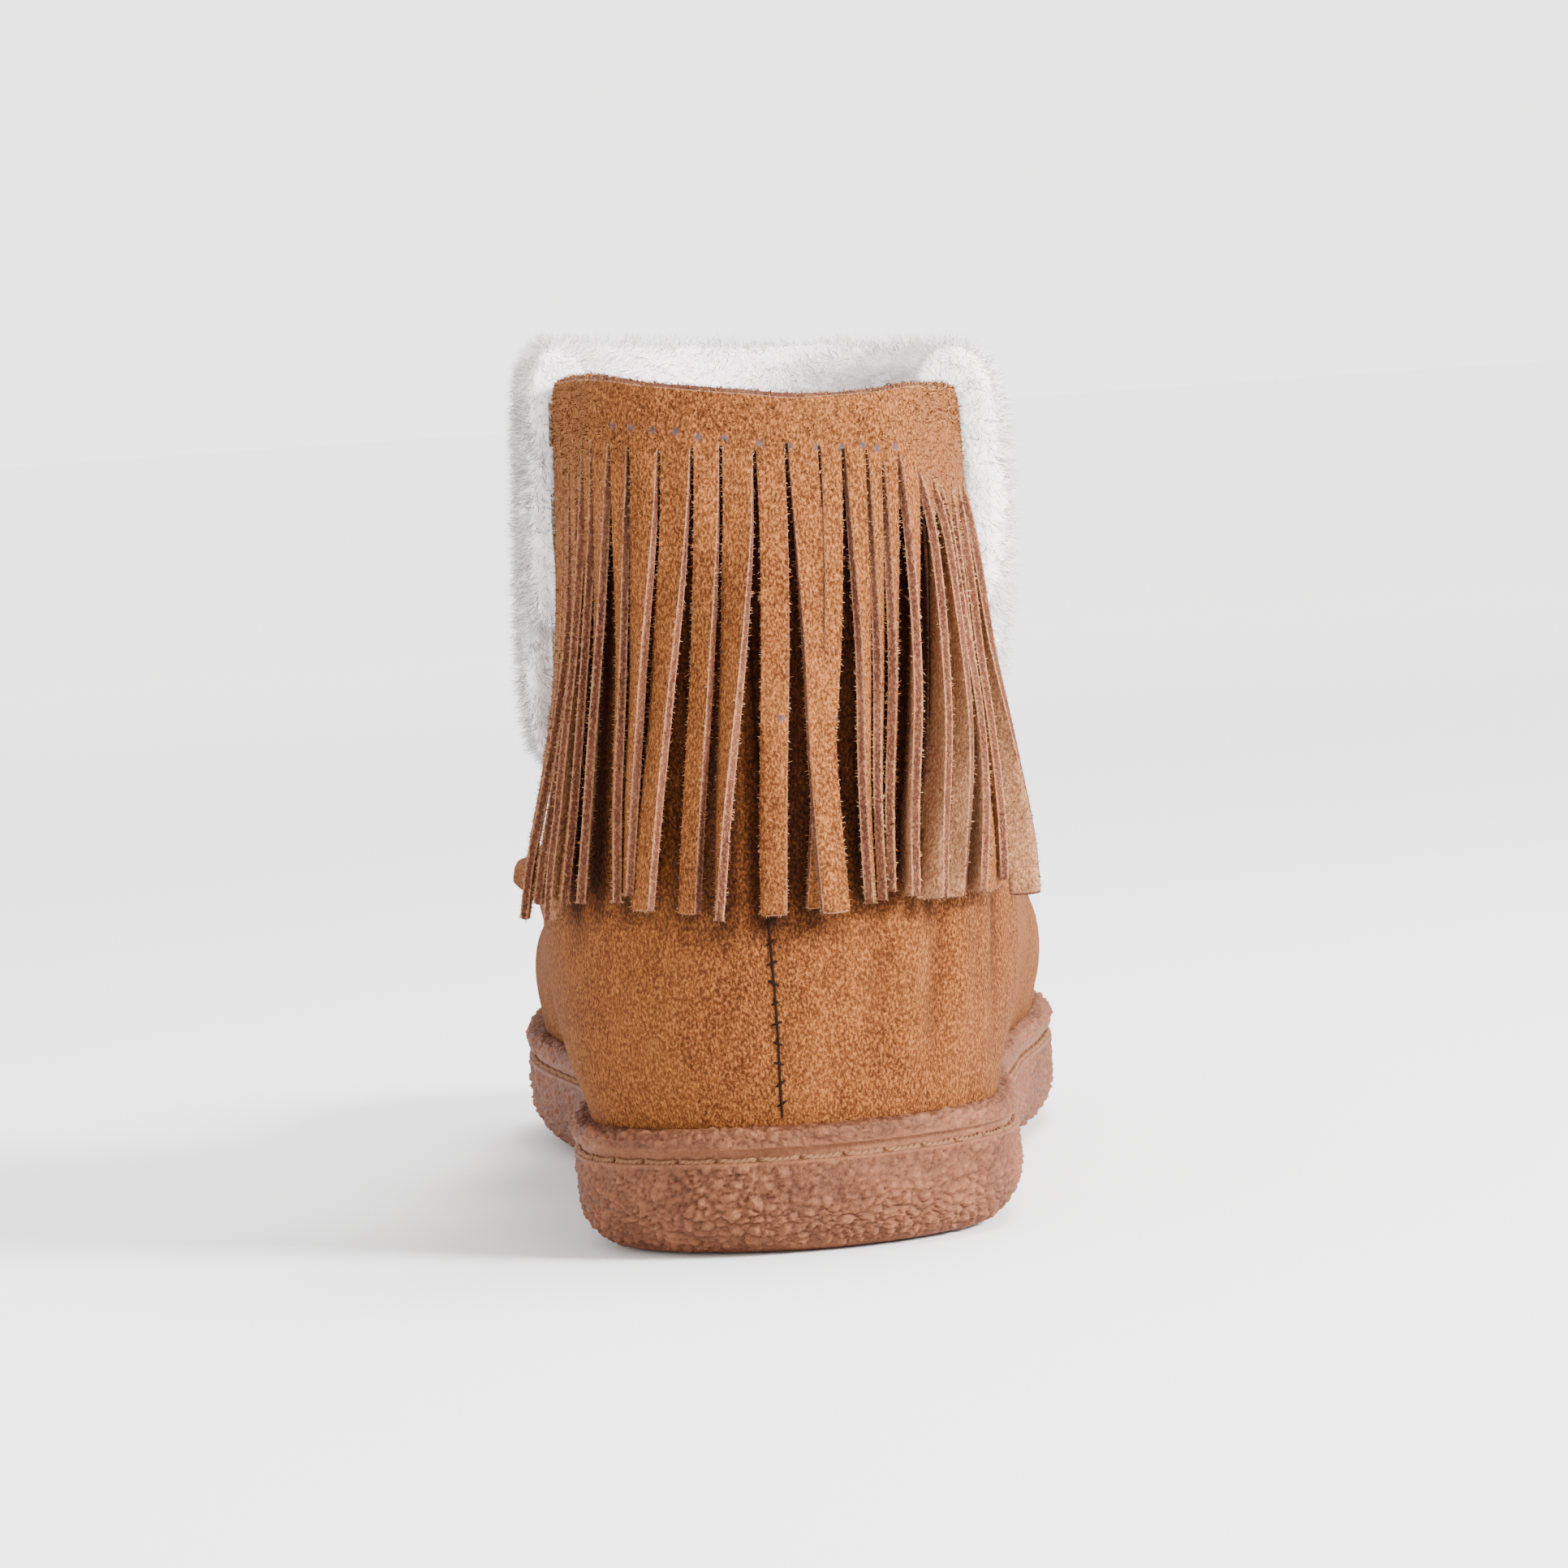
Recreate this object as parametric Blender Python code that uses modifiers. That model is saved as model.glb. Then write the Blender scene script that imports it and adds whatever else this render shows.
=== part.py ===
"""House slipper: a right ankle-high suede bootie with a fleece cuff, a fringe round the heel and a rubber cup sole.

Frame: the origin lies on the floor under the heel, +Y runs to the toe, +X to the shoe's outer side and +Z up.
Every curved piece comes from one form, the last, which is a stack of rings: an angle of 0 is at the back of the
heel, half a turn is at the front, and a positive angle goes round the outer side. All lengths are in metres.
"""
import math

import bmesh
import bpy
import numpy as np

for leftover in list(bpy.data.objects):
    bpy.data.objects.remove(leftover, do_unlink=True)
shoe = bpy.data.collections.new("house_slipper")
bpy.context.scene.collection.children.link(shoe)

# Sole
LENGTH = 0.264
HEEL_REACH = 0.038
BALL_WIDTH = 0.0985
SOLE_HEIGHT = 0.0215
FOOTBED_HEIGHT = 0.010
RIM_THICKNESS = 0.0035
LIP_HEIGHT = 0.0036
LIP_SWELL = 0.0004
GROOVE_HEIGHT = 0.0022
GROOVE_DEPTH = 0.0013
SOLE_EDGE_RADIUS = 0.0085
CUP_FLOOR_EDGE = 0.001
ARCH_LIFT = 0.002
TOE_SPRING = 0.008

# Upper and insole
WALL = 0.0025
INSOLE_THICKNESS = 0.004
TOE_HEIGHT = 0.050
INSTEP_HEIGHT = 0.090
SHAFT_HEIGHT = 0.1385
SHAFT_LEAN = 0.012
SHAFT_TILT = 0.070
SEAM_RIDGE = 0.0036
SEAM_RIDGE_HEIGHT = 0.0046
GATHER = 0.0085
GATHER_HEIGHT = 0.0550
GATHER_SPREAD = 0.0064
GATHER_TURN = math.radians(18)
GATHER_ANGLE = math.radians(-112)
SEAT_BLEND = 0.474

# Fringe
SUEDE_THICKNESS = 0.0015
FRINGE_DROP = 0.0720
BAND_HEIGHT = 0.0095
BAND_HOOK = 0.006
SLIT = 0.0004
STRAND_STEPS = 9
STRAND_START = 0.12
FAN_CURVE = 1.25
PANEL_REACH_INNER = 0.053
PANEL_REACH_OUTER = 0.0625

# Cuff
FLEECE_DEPTH_OUTER = 0.0090
FLEECE_DEPTH_INNER = 0.0060
FLEECE_EASE = 0.0007
FLEECE_INSIDE = 0.0045
FLEECE_CROWN = 0.0105
FLEECE_HOOK = 0.013
CUFF_REAR_DROP = 0.037
CUFF_SIDE_DROP = 0.064
CUFF_FRONT_DROP = 0.057
PANEL_GAP = 0.0015
LOCK_RELIEF = 0.0009

CLEARANCE = 0.0003
RING_POINTS = 64
CUFF_SECTIONS = 39

# Plan of the sole: share of LENGTH from the heel end, then the width that a plain oval would need to pass
# through the outline there, and the sideways bend of the middle line, both as shares of BALL_WIDTH.
SOLE_PLAN = np.array([
    # along, fullness, bend
    (0.000, 0.720, 0.000),
    (0.068, 0.665, 0.000),
    (0.144, 0.542, 0.000),
    (0.250, 0.434, 0.003),
    (0.370, 0.384, 0.020),
    (0.485, 0.393, 0.033),
    (0.600, 0.456, 0.030),
    (0.693, 0.529, 0.021),
    (0.769, 0.593, 0.008),
    (0.845, 0.662, -0.008),
    (0.900, 0.714, -0.023),
    (0.947, 0.776, -0.033),
    (1.000, 0.800, -0.040),
])

# Rings of the upper. The level runs from 0 at the footbed over 1 at the toe's height and 2 at the instep to 3 at
# the collar. Back and front are shares of LENGTH from the origin. The five widths stand at shares 0, 0.2, 0.45,
# 0.7 and 1 of the ring and are shares of BALL_WIDTH, used as in SOLE_PLAN. Bend is how much of the sole's
# sideways bend the ring keeps.
WIDTH_PLACES = np.array([0.0, 0.2, 0.45, 0.7, 1.0])
UPPER_RINGS = np.array([
    # level, bend, back, front, heel, quarter, waist, ball, tip
    (0.000, 1.00, -0.1402, 0.8390, 0.710, 0.508, 0.393, 0.538, 0.792),
    (0.282, 1.00, -0.1402, 0.8390, 0.710, 0.508, 0.393, 0.538, 0.792),
    (0.622, 1.00, -0.1402, 0.8295, 0.710, 0.508, 0.393, 0.524, 0.792),
    (0.849, 1.00, -0.1375, 0.7990, 0.690, 0.508, 0.414, 0.488, 0.680),
    (0.960, 0.95, -0.1360, 0.7500, 0.680, 0.508, 0.412, 0.457, 0.590),
    (1.050, 0.90, -0.1348, 0.7045, 0.670, 0.504, 0.410, 0.436, 0.528),
    (1.175, 0.75, -0.1333, 0.6440, 0.660, 0.498, 0.407, 0.410, 0.440),
    (1.300, 0.60, -0.1318, 0.5870, 0.640, 0.490, 0.402, 0.398, 0.395),
    (1.500, 0.40, -0.1288, 0.5076, 0.590, 0.462, 0.390, 0.380, 0.370),
    (1.750, 0.15, -0.1260, 0.4318, 0.560, 0.432, 0.374, 0.362, 0.355),
    (2.000, 0.00, -0.1240, 0.3674, 0.540, 0.402, 0.358, 0.350, 0.352),
    (2.175, 0.00, -0.1225, 0.3295, 0.530, 0.381, 0.349, 0.344, 0.352),
    (2.614, 0.00, -0.1225, 0.2917, 0.520, 0.366, 0.343, 0.340, 0.360),
    (3.000, 0.00, -0.1265, 0.2803, 0.515, 0.358, 0.338, 0.336, 0.360),
])

# Levels of the rings on the shaft's outer face, and on the wall's inner face from the collar down.
SHAFT_LEVELS = (1.95, 2.08, 2.22, 2.4, 2.7, 3)
INNER_LEVELS = (3, 2.6, 2.2, 1.9, 1.6, 1.38, 1.2, 1.05, 0.93, 0.78, 0.55)

# Raised seam round the toe box: angle from the toe's point in shares of half a turn, negative on the inner side,
# the seam's level as in UPPER_RINGS, how much of the ridge stands there, and how far its upper side runs in shares
# of its height. On the inner side the seam ends in a gather, where the upper bulges.
SEAM_LINE = np.array([
    # from toe, level, ridge, upper side
    (-1.00, 1.500, 0.00, 0.80),
    (-0.52, 1.350, 0.00, 0.80),
    (-0.46, 1.240, 0.60, 0.75),
    (-0.39, 1.100, 0.80, 0.60),
    (-0.30, 0.950, 0.50, 0.45),
    (-0.17, 0.885, 0.60, 0.30),
    (0.00, 0.870, 0.55, 0.25),
    (0.17, 0.885, 0.60, 0.30),
    (0.30, 0.940, 0.50, 0.45),
    (0.39, 1.020, 0.40, 0.60),
    (0.46, 1.120, 0.30, 0.75),
    (0.52, 1.230, 0.00, 0.80),
    (1.00, 1.500, 0.00, 0.80),
])

# Strands from the inner side round the back to the outer side. Slit is the arc, from the middle of the back, where
# the strand's outer-side edge is cut, and foot the arc where its end hangs; they and lift, how far the end stands
# off, are shares of PANEL_REACH_OUTER. Top is the height of that slit's upper end, as a share of BAND_HEIGHT below
# the collar. Turns are in degrees, positive to the outer side. Length is a share of FRINGE_DROP.
STRANDS = np.array([
    # slit, top, foot, turn half way, turn at the end, lift, length
    (-0.800, 0.62, -1.000, -4, -6, 0.032, 0.990),
    (-0.735, 0.55, -0.930, -6, -8, 0.048, 1.010),
    (-0.672, 0.50, -0.850, -14, -20, 0.064, 1.020),
    (-0.612, 0.50, -0.775, -20, -26, 0.036, 0.985),
    (-0.540, 0.56, -0.690, -46, -60, 0.006, 1.015),
    (-0.470, 0.62, -0.640, -26, -20, 0.020, 0.976),
    (-0.395, 0.66, -0.555, -36, -40, 0.012, 0.976),
    (-0.335, 0.70, -0.440, -40, -48, 0.010, 0.974),
    (-0.250, 0.74, -0.407, -36, -44, 0.000, 0.960),
    (-0.164, 0.70, -0.354, -30, -22, 0.030, 0.994),
    (-0.091, 0.66, -0.236, -26, -28, 0.012, 1.006),
    (-0.006, 0.76, -0.158, -48, -76, 0.010, 1.022),
    (0.074, 0.64, -0.018, -6, -14, 0.012, 1.020),
    (0.158, 0.68, 0.127, 12, 8, 0.050, 1.024),
    (0.220, 0.72, 0.092, 20, 6, 0.000, 1.010),
    (0.282, 0.76, 0.218, 46, 60, 0.010, 1.008),
    (0.325, 0.96, 0.248, 52, 66, 0.012, 1.003),
    (0.376, 0.84, 0.276, 54, 60, 0.006, 0.985),
    (0.455, 1.20, 0.316, 60, 76, 0.016, 1.000),
    (0.545, 1.28, 0.368, 70, 112, 0.014, 1.010),
    (0.635, 1.44, 0.424, 76, 128, 0.016, 1.012),
    (0.740, 1.30, 0.500, 48, 66, 0.024, 1.005),
    (0.835, 1.36, 0.570, 26, 14, 0.040, 1.010),
    (0.918, 1.40, 0.640, 40, 46, 0.016, 0.990),
    (1.000, 1.40, 0.710, 60, 112, 0.040, 1.030),
])

# Cuff's face from its hem, 0, to the collar, 1, and how full the fleece is there.
CUFF_FACE = [(0, 0.3), (0.05, 0.58), (0.14, 0.76), (0.28, 0.88), (0.42, 0.96), (0.56, 1), (0.7, 1), (0.84, 1), (1, 1)]

# Fold of the cuff: its place out from the collar, in shares of the depth outside and of FLEECE_INSIDE, and its
# height in shares of FLEECE_CROWN.
CUFF_FOLD = [
    # outside, inside, height
    (0.8, 0.0, 0.62),
    (0.3, 0.0, 1.00),
    (0.0, 0.1, 0.90),
    (0.0, 0.8, 0.45),
]


def smooth_table(places, values, at):
    """Follow a table's column with a smooth curve that never overshoots its rows."""
    at = np.clip(np.asarray(at, float), places[0], places[-1])
    values = np.asarray(values, float)
    values = np.broadcast_to(values.reshape(values.shape + (1,) * (at.ndim + 1 - values.ndim)),
                             (len(places),) + at.shape)
    widths = np.diff(places).reshape((-1,) + (1,) * at.ndim)
    slopes = np.diff(values, axis=0) / widths
    product = slopes[:-1] * slopes[1:]
    total = slopes[:-1] + slopes[1:]
    inner = np.where(product > 0, 2 * product / np.where(product > 0, total, 1), 0)
    tangents = np.concatenate([slopes[:1], inner, slopes[-1:]])
    row = np.clip(np.searchsorted(places, at, side="right") - 1, 0, len(places) - 2)
    low, high = row[None], row[None] + 1
    width = np.diff(places)[row]
    t = (at - np.asarray(places)[row]) / width
    start = np.take_along_axis(values, low, 0)[0]
    end = np.take_along_axis(values, high, 0)[0]
    leave = np.take_along_axis(tangents, low, 0)[0] * width
    arrive = np.take_along_axis(tangents, high, 0)[0] * width
    return ((2 * t**3 - 3 * t**2 + 1) * start + (t**3 - 2 * t**2 + t) * leave
            + (3 * t**2 - 2 * t**3) * end + (t**3 - t**2) * arrive)


def ease(value, start, end):
    """Rise smoothly from 0 at start to 1 at end."""
    share = np.clip((value - start) / (end - start), 0, 1)
    return share * share * (3 - 2 * share)


def toe_rise(along):
    """Toe spring: how far the foot's forepart bends up at a place along the shoe."""
    ball_end = 0.73 * LENGTH - HEEL_REACH
    toe_end = LENGTH - HEEL_REACH
    return TOE_SPRING * np.clip((along - ball_end) / (toe_end - ball_end), 0, None) ** 2


def arch_rise(along):
    """How far the tread stands off the floor under the waist."""
    share = (along + HEEL_REACH) / LENGTH
    return ARCH_LIFT * ease(share, 0.27, 0.40) * (1 - ease(share, 0.50, 0.62))


def middle_bend(along):
    """Sideways place of the foot's middle line."""
    share = (along + HEEL_REACH) / LENGTH
    return BALL_WIDTH * smooth_table(SOLE_PLAN[:, 0], SOLE_PLAN[:, 2], share)


def sole_plan(angle, inset):
    """Outline of the sole in plan, drawn in by a distance all round."""
    def edge(turn):
        share = 0.5 * (1 - np.cos(turn))
        along = share * LENGTH - HEEL_REACH
        fullness = BALL_WIDTH * smooth_table(SOLE_PLAN[:, 0], SOLE_PLAN[:, 1], share)
        return np.stack([middle_bend(along) + np.sin(turn) * fullness, along], -1)
    step = 0.004
    direction = edge(angle + step) - edge(angle - step)
    direction /= np.linalg.norm(direction, axis=-1, keepdims=True)
    outward = np.stack([direction[..., 1], -direction[..., 0]], -1)
    return edge(angle) - inset * outward


def level_height(level):
    """Height of a level of the upper: 0 footbed, 1 toe, 2 instep, 3 collar."""
    return np.interp(level, [0, 1, 2, 3], [FOOTBED_HEIGHT + CLEARANCE, TOE_HEIGHT, INSTEP_HEIGHT, SHAFT_HEIGHT])


def height_level(height):
    """Level of a height of the upper."""
    return np.interp(height, [FOOTBED_HEIGHT + CLEARANCE, TOE_HEIGHT, INSTEP_HEIGHT, SHAFT_HEIGHT], [0, 1, 2, 3])


def last_form(angle, height):
    """Outer face of the upper at an angle and a height, before the shaft leans and the toe springs."""
    level = height_level(height)
    own = ease(height, SOLE_HEIGHT, SOLE_HEIGHT + SEAT_BLEND * (TOE_HEIGHT - SOLE_HEIGHT))
    bend, back, front = (smooth_table(UPPER_RINGS[:, 0], UPPER_RINGS[:, column], level) for column in range(1, 4))
    widths = np.stack([smooth_table(UPPER_RINGS[:, 0], UPPER_RINGS[:, column], level) for column in range(4, 9)])
    share = 0.5 * (1 - np.cos(angle))
    along = LENGTH * (back + share * (front - back))
    across = bend * middle_bend(along) + BALL_WIDTH * np.sin(angle) * smooth_table(WIDTH_PLACES, widths, share)
    turn = np.mod(angle - GATHER_ANGLE + math.pi, 2 * math.pi) - math.pi
    across = across - GATHER * np.exp(-(turn / GATHER_TURN) ** 2 - ((height - GATHER_HEIGHT) / GATHER_SPREAD) ** 2)
    seat = sole_plan(angle, RIM_THICKNESS + CLEARANCE)
    plan = np.stack([across, along], -1) * own[..., None] + seat * (1 - own[..., None])
    return np.concatenate([plan, np.asarray(height, float)[..., None]], -1)


def settle(points):
    """Lean the shaft to the outer side, drop its outer rim, and bend up the toe."""
    across, along, height = points[..., 0], points[..., 1], points[..., 2]
    ankle = ease(height, TOE_HEIGHT, INSTEP_HEIGHT)
    lean = math.tan(SHAFT_LEAN) * np.clip(height - TOE_HEIGHT, 0, None) * ankle
    drop = math.tan(SHAFT_TILT) * across * ease(height, TOE_HEIGHT, SHAFT_HEIGHT)
    return np.stack([across + lean, along, height - drop + toe_rise(along)], -1)


def skin(angle, height, outward):
    """Point at a distance outside the upper's outer face."""
    angle, height = np.broadcast_arrays(np.asarray(angle, float), np.asarray(height, float))
    turn, rise = 0.004, 0.0004
    round_ring = settle(last_form(angle + turn, height)) - settle(last_form(angle - turn, height))
    below = np.clip(height - rise, FOOTBED_HEIGHT + CLEARANCE, None)
    above = np.clip(height + rise, None, SHAFT_HEIGHT)
    up_wall = settle(last_form(angle, above)) - settle(last_form(angle, below))
    normal = np.cross(round_ring, up_wall)
    normal /= np.linalg.norm(normal, axis=-1, keepdims=True)
    outward = np.broadcast_to(np.asarray(outward, float), angle.shape)
    return settle(last_form(angle, height)) + outward[..., None] * normal


def collar(angle, outward, above):
    """Point over the collar: a distance outside the upper and a distance above its top edge."""
    points = skin(angle, np.full(np.shape(angle), SHAFT_HEIGHT), outward)
    return points + np.stack([np.zeros_like(points[..., 0]), np.zeros_like(points[..., 0]),
                              np.broadcast_to(above, points[..., 0].shape)], -1)


def ring_angles():
    """Angles of one ring, evenly spaced."""
    return np.arange(RING_POINTS) * 2 * math.pi / RING_POINTS


def plain_finish(name, colour, roughness):
    """Plain material of a piece."""
    material = bpy.data.materials.new(name)
    material.use_nodes = True
    shader = material.node_tree.nodes["Principled BSDF"]
    shader.inputs["Base Color"].default_value = (*colour, 1)
    shader.inputs["Roughness"].default_value = roughness
    shader.inputs["Metallic"].default_value = 0
    material.diffuse_color = (*colour, 1)
    return material


def add_piece(name, points, faces, material):
    """Make one named object of points and faces, with its faces turned outwards."""
    mesh = bpy.data.meshes.new(name)
    mesh.from_pydata([tuple(point) for point in points], [], faces)
    shell = bmesh.new()
    shell.from_mesh(mesh)
    bmesh.ops.recalc_face_normals(shell, faces=shell.faces)
    shell.to_mesh(mesh)
    shell.free()
    mesh.shade_smooth()
    mesh.set_sharp_from_angle(angle=math.radians(40))
    piece = bpy.data.objects.new(name, mesh)
    mesh.materials.append(material)
    shoe.objects.link(piece)
    return piece


def loft_faces(rings, points, join_ends):
    """Quads between neighbouring closed loops, and from the last to the first where they join."""
    faces = []
    for ring in range(rings if join_ends else rings - 1):
        low, high = ring * points, (ring + 1) % rings * points
        for place in range(points):
            after = (place + 1) % points
            faces.append((low + place, low + after, high + after, high + place))
    return faces


def ladder_faces(start, points):
    """Close a loop with quads across it, so that the closing face follows the loop's own height."""
    faces = [(start, start + 1, start + points - 1)]
    for place in range(1, points // 2 - 1):
        faces.append((start + place, start + place + 1, start + points - place - 1, start + points - place))
    middle = start + points // 2
    faces.append((middle - 1, middle, middle + 1))
    return faces


def make_outsole(material):
    """Cup sole: rounded tread edge, upright wall, stitching groove, swelled lip, and the cup inside."""
    angles = ring_angles()
    groove_top = SOLE_HEIGHT - LIP_HEIGHT
    groove_bottom = groove_top - GROOVE_HEIGHT
    round_edge = [(SOLE_EDGE_RADIUS * (1 - math.cos(turn)), SOLE_EDGE_RADIUS * (1 - math.sin(turn)))
                  for turn in np.radians([0, 22, 45, 68, 90])]
    profile = round_edge + [
        (groove_bottom, 0),
        (groove_bottom + 0.1 * GROOVE_HEIGHT, GROOVE_DEPTH),
        (groove_top, GROOVE_DEPTH),
        (groove_top + 0.03 * LIP_HEIGHT, 0),
        (groove_top + 0.5 * LIP_HEIGHT, -LIP_SWELL),
        (groove_top + 0.88 * LIP_HEIGHT, 0.1 * RIM_THICKNESS),
        (SOLE_HEIGHT, 0.45 * RIM_THICKNESS),
        (SOLE_HEIGHT, RIM_THICKNESS),
        (FOOTBED_HEIGHT, RIM_THICKNESS),
    ]
    rings = []
    for height, inset in profile:
        plan = sole_plan(angles, inset)
        along = plan[:, 1]
        under = arch_rise(along) * max(0.0, 1 - height / FOOTBED_HEIGHT)
        rings.append(np.column_stack([plan, height + under + toe_rise(along)]))
    faces = loft_faces(len(rings), RING_POINTS, False)
    faces += ladder_faces(0, RING_POINTS) + ladder_faces((len(rings) - 1) * RING_POINTS, RING_POINTS)
    return add_piece("outsole", np.concatenate(rings), faces, material)


def make_insole(material):
    """Sheet that fills the foot of the upper, from wall to wall."""
    angles = ring_angles()
    inset = RIM_THICKNESS + 2 * CLEARANCE + WALL
    low = FOOTBED_HEIGHT + CLEARANCE
    rings = []
    for height, extra in ((low, 0), (low + 0.75 * INSOLE_THICKNESS, 0), (low + INSOLE_THICKNESS, CUP_FLOOR_EDGE)):
        plan = sole_plan(angles, inset + extra)
        rings.append(np.column_stack([plan, height + toe_rise(plan[:, 1])]))
    faces = loft_faces(len(rings), RING_POINTS, False)
    faces += ladder_faces(0, RING_POINTS) + ladder_faces((len(rings) - 1) * RING_POINTS, RING_POINTS)
    return add_piece("insole", np.concatenate(rings), faces, material)


def seam_ring(angles, step):
    """Heights and thickening of a ring along the raised seam; step runs from -1 below it to 1 above it."""
    from_toe = (math.pi - angles) / math.pi
    level, ridge, upper_side = (smooth_table(SEAM_LINE[:, 0], SEAM_LINE[:, column], from_toe)
                                for column in range(1, 4))
    reach = SEAM_RIDGE_HEIGHT * np.where(step > 0, upper_side, 1)
    swell = SEAM_RIDGE * ridge * (1 - abs(step)) ** 0.8
    return level_height(level) + step * reach, swell


def make_upper(material):
    """Hollow suede shell from the cup of the sole to the collar, with the raised seam round the toe box."""
    angles = ring_angles()
    still = np.zeros(RING_POINTS)
    base = FOOTBED_HEIGHT + CLEARANCE
    outer = [(base + still, still), (SOLE_HEIGHT + still, still),
             (SOLE_HEIGHT + 0.28 * (TOE_HEIGHT - SOLE_HEIGHT) + still, still)]
    below, no_swell = seam_ring(angles, -1)
    knee = SOLE_HEIGHT + 0.52 * (TOE_HEIGHT - SOLE_HEIGHT)
    outer.append((knee + 0.25 * (below - knee), still))
    outer.append((below, no_swell))
    outer += [seam_ring(angles, step) for step in (-0.55, -0.1, 0.35)]
    above, no_swell = seam_ring(angles, 1)
    outer.append((above, no_swell))
    instep = level_height(1.82)
    outer += [(above + share * (instep - above), still) for share in (0.25, 0.5, 0.75, 1)]
    outer += [(level_height(level) + still, still) for level in SHAFT_LEVELS]
    inner = [level_height(level) + still for level in INNER_LEVELS] + [SOLE_HEIGHT + still, base + still]
    rings = [skin(angles, height, swell) for height, swell in outer]
    rings += [skin(angles, height, -WALL) for height in inner]
    return add_piece("upper", np.concatenate(rings), loft_faces(len(rings), RING_POINTS, True), material)


def angle_at(arc, height):
    """Angle at which a distance round the shaft from the middle of its back is reached."""
    turns = np.linspace(-2.2, 2.2, 177)
    line = skin(turns, np.full(turns.shape, height), 0)
    distance = np.concatenate([[0], np.cumsum(np.linalg.norm(np.diff(line, axis=0), axis=1))])
    distance -= distance[len(turns) // 2]
    return np.interp(arc, distance, turns)


def strand_points(left_arc, right_arc, foot, half_turn, end_turn, lift, length):
    """Two edges of one strand from below its slits down to its end, turning about its own length."""
    top = SHAFT_HEIGHT - BAND_HEIGHT
    width = right_arc - left_arc
    rows = []
    for share in np.linspace(STRAND_START, 1, STRAND_STEPS):
        height = top - share * length * FRINGE_DROP
        arc = 0.5 * (left_arc + right_arc) + (foot - 0.5 * (left_arc + right_arc)) * share ** FAN_CURVE
        angle = angle_at(arc, height)
        turn = math.radians(smooth_table(np.array([0, 0.12, 0.55, 1]), [0, 0.3 * half_turn, half_turn, end_turn],
                                         share))
        depth = CLEARANCE + 0.5 * SUEDE_THICKNESS + 0.5 * width * abs(math.sin(turn)) + lift * share ** 2
        centre = skin(angle, height, depth)
        outward = centre - skin(angle, height, 0)
        outward[2] = 0
        outward /= np.linalg.norm(outward)
        sideways = np.array([-outward[1], outward[0], 0])
        across = 0.5 * width * (math.cos(turn) * sideways - math.sin(turn) * outward)
        rows.append((centre - across, centre + across))
    return rows


def make_fringe(material):
    """Suede sheet hooked over the collar at the back, with its strands, thickened from one surface."""
    middle = CLEARANCE + 0.5 * SUEDE_THICKNESS
    slits = PANEL_REACH_OUTER * STRANDS[:-1, 0]
    tops = BAND_HEIGHT * STRANDS[:, 1]
    lefts = [-PANEL_REACH_INNER] + list(slits + 0.5 * SLIT)
    rights = list(slits - 0.5 * SLIT) + [PANEL_REACH_OUTER * STRANDS[-1, 0]]
    arcs = [arc for pair in zip(lefts, rights) for arc in pair]
    angles = np.array([angle_at(arc, SHAFT_HEIGHT - BAND_HEIGHT) for arc in arcs])
    columns = len(angles)
    depths = np.repeat(tops, 2)
    depths = np.concatenate([depths[:1], depths[:-1]])
    band = [skin(angles, SHAFT_HEIGHT - share * depths, middle) for share in (1, 0.5, 0)]
    over = WALL + 2 * middle
    band += [collar(angles, middle - 0.5 * over * (1 - math.cos(turn)), middle + 0.35 * over * math.sin(turn))
             for turn in np.radians([35, 90, 145])]
    band += [skin(angles, np.full(columns, SHAFT_HEIGHT - drop), -WALL - middle) for drop in (0, BAND_HOOK)]
    points = list(np.concatenate(band))
    faces = [(row * columns + column, row * columns + column + 1, (row + 1) * columns + column + 1,
              (row + 1) * columns + column)
             for row in range(len(band) - 1) for column in range(columns - 1)]
    for number, (foot, half_turn, end_turn, lift, length) in enumerate(STRANDS[:, 2:]):
        left, right = 2 * number, 2 * number + 1
        for low_left, low_right in strand_points(lefts[number], rights[number], foot * PANEL_REACH_OUTER,
                                                 half_turn, end_turn, lift * PANEL_REACH_OUTER, length):
            points += [low_left, low_right]
            faces.append((left, right, len(points) - 1, len(points) - 2))
            left, right = len(points) - 2, len(points) - 1
    piece = add_piece("fringe_panel", points, faces, material)
    thick = piece.modifiers.new("sheet", "SOLIDIFY")
    thick.thickness = SUEDE_THICKNESS
    thick.offset = 0
    thick.use_even_offset = True
    return piece


def cuff_hem(angle):
    """Height of the cuff's lower edge: low at the sides, a little higher on the instep, high at its rear ends."""
    from_front = np.degrees(np.abs(math.pi - angle))
    drop = CUFF_FRONT_DROP + (CUFF_SIDE_DROP - CUFF_FRONT_DROP) * ease(from_front, 5, 66)
    drop += (CUFF_REAR_DROP - CUFF_SIDE_DROP) * ease(from_front, 74, 93)
    return SHAFT_HEIGHT - drop


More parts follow.
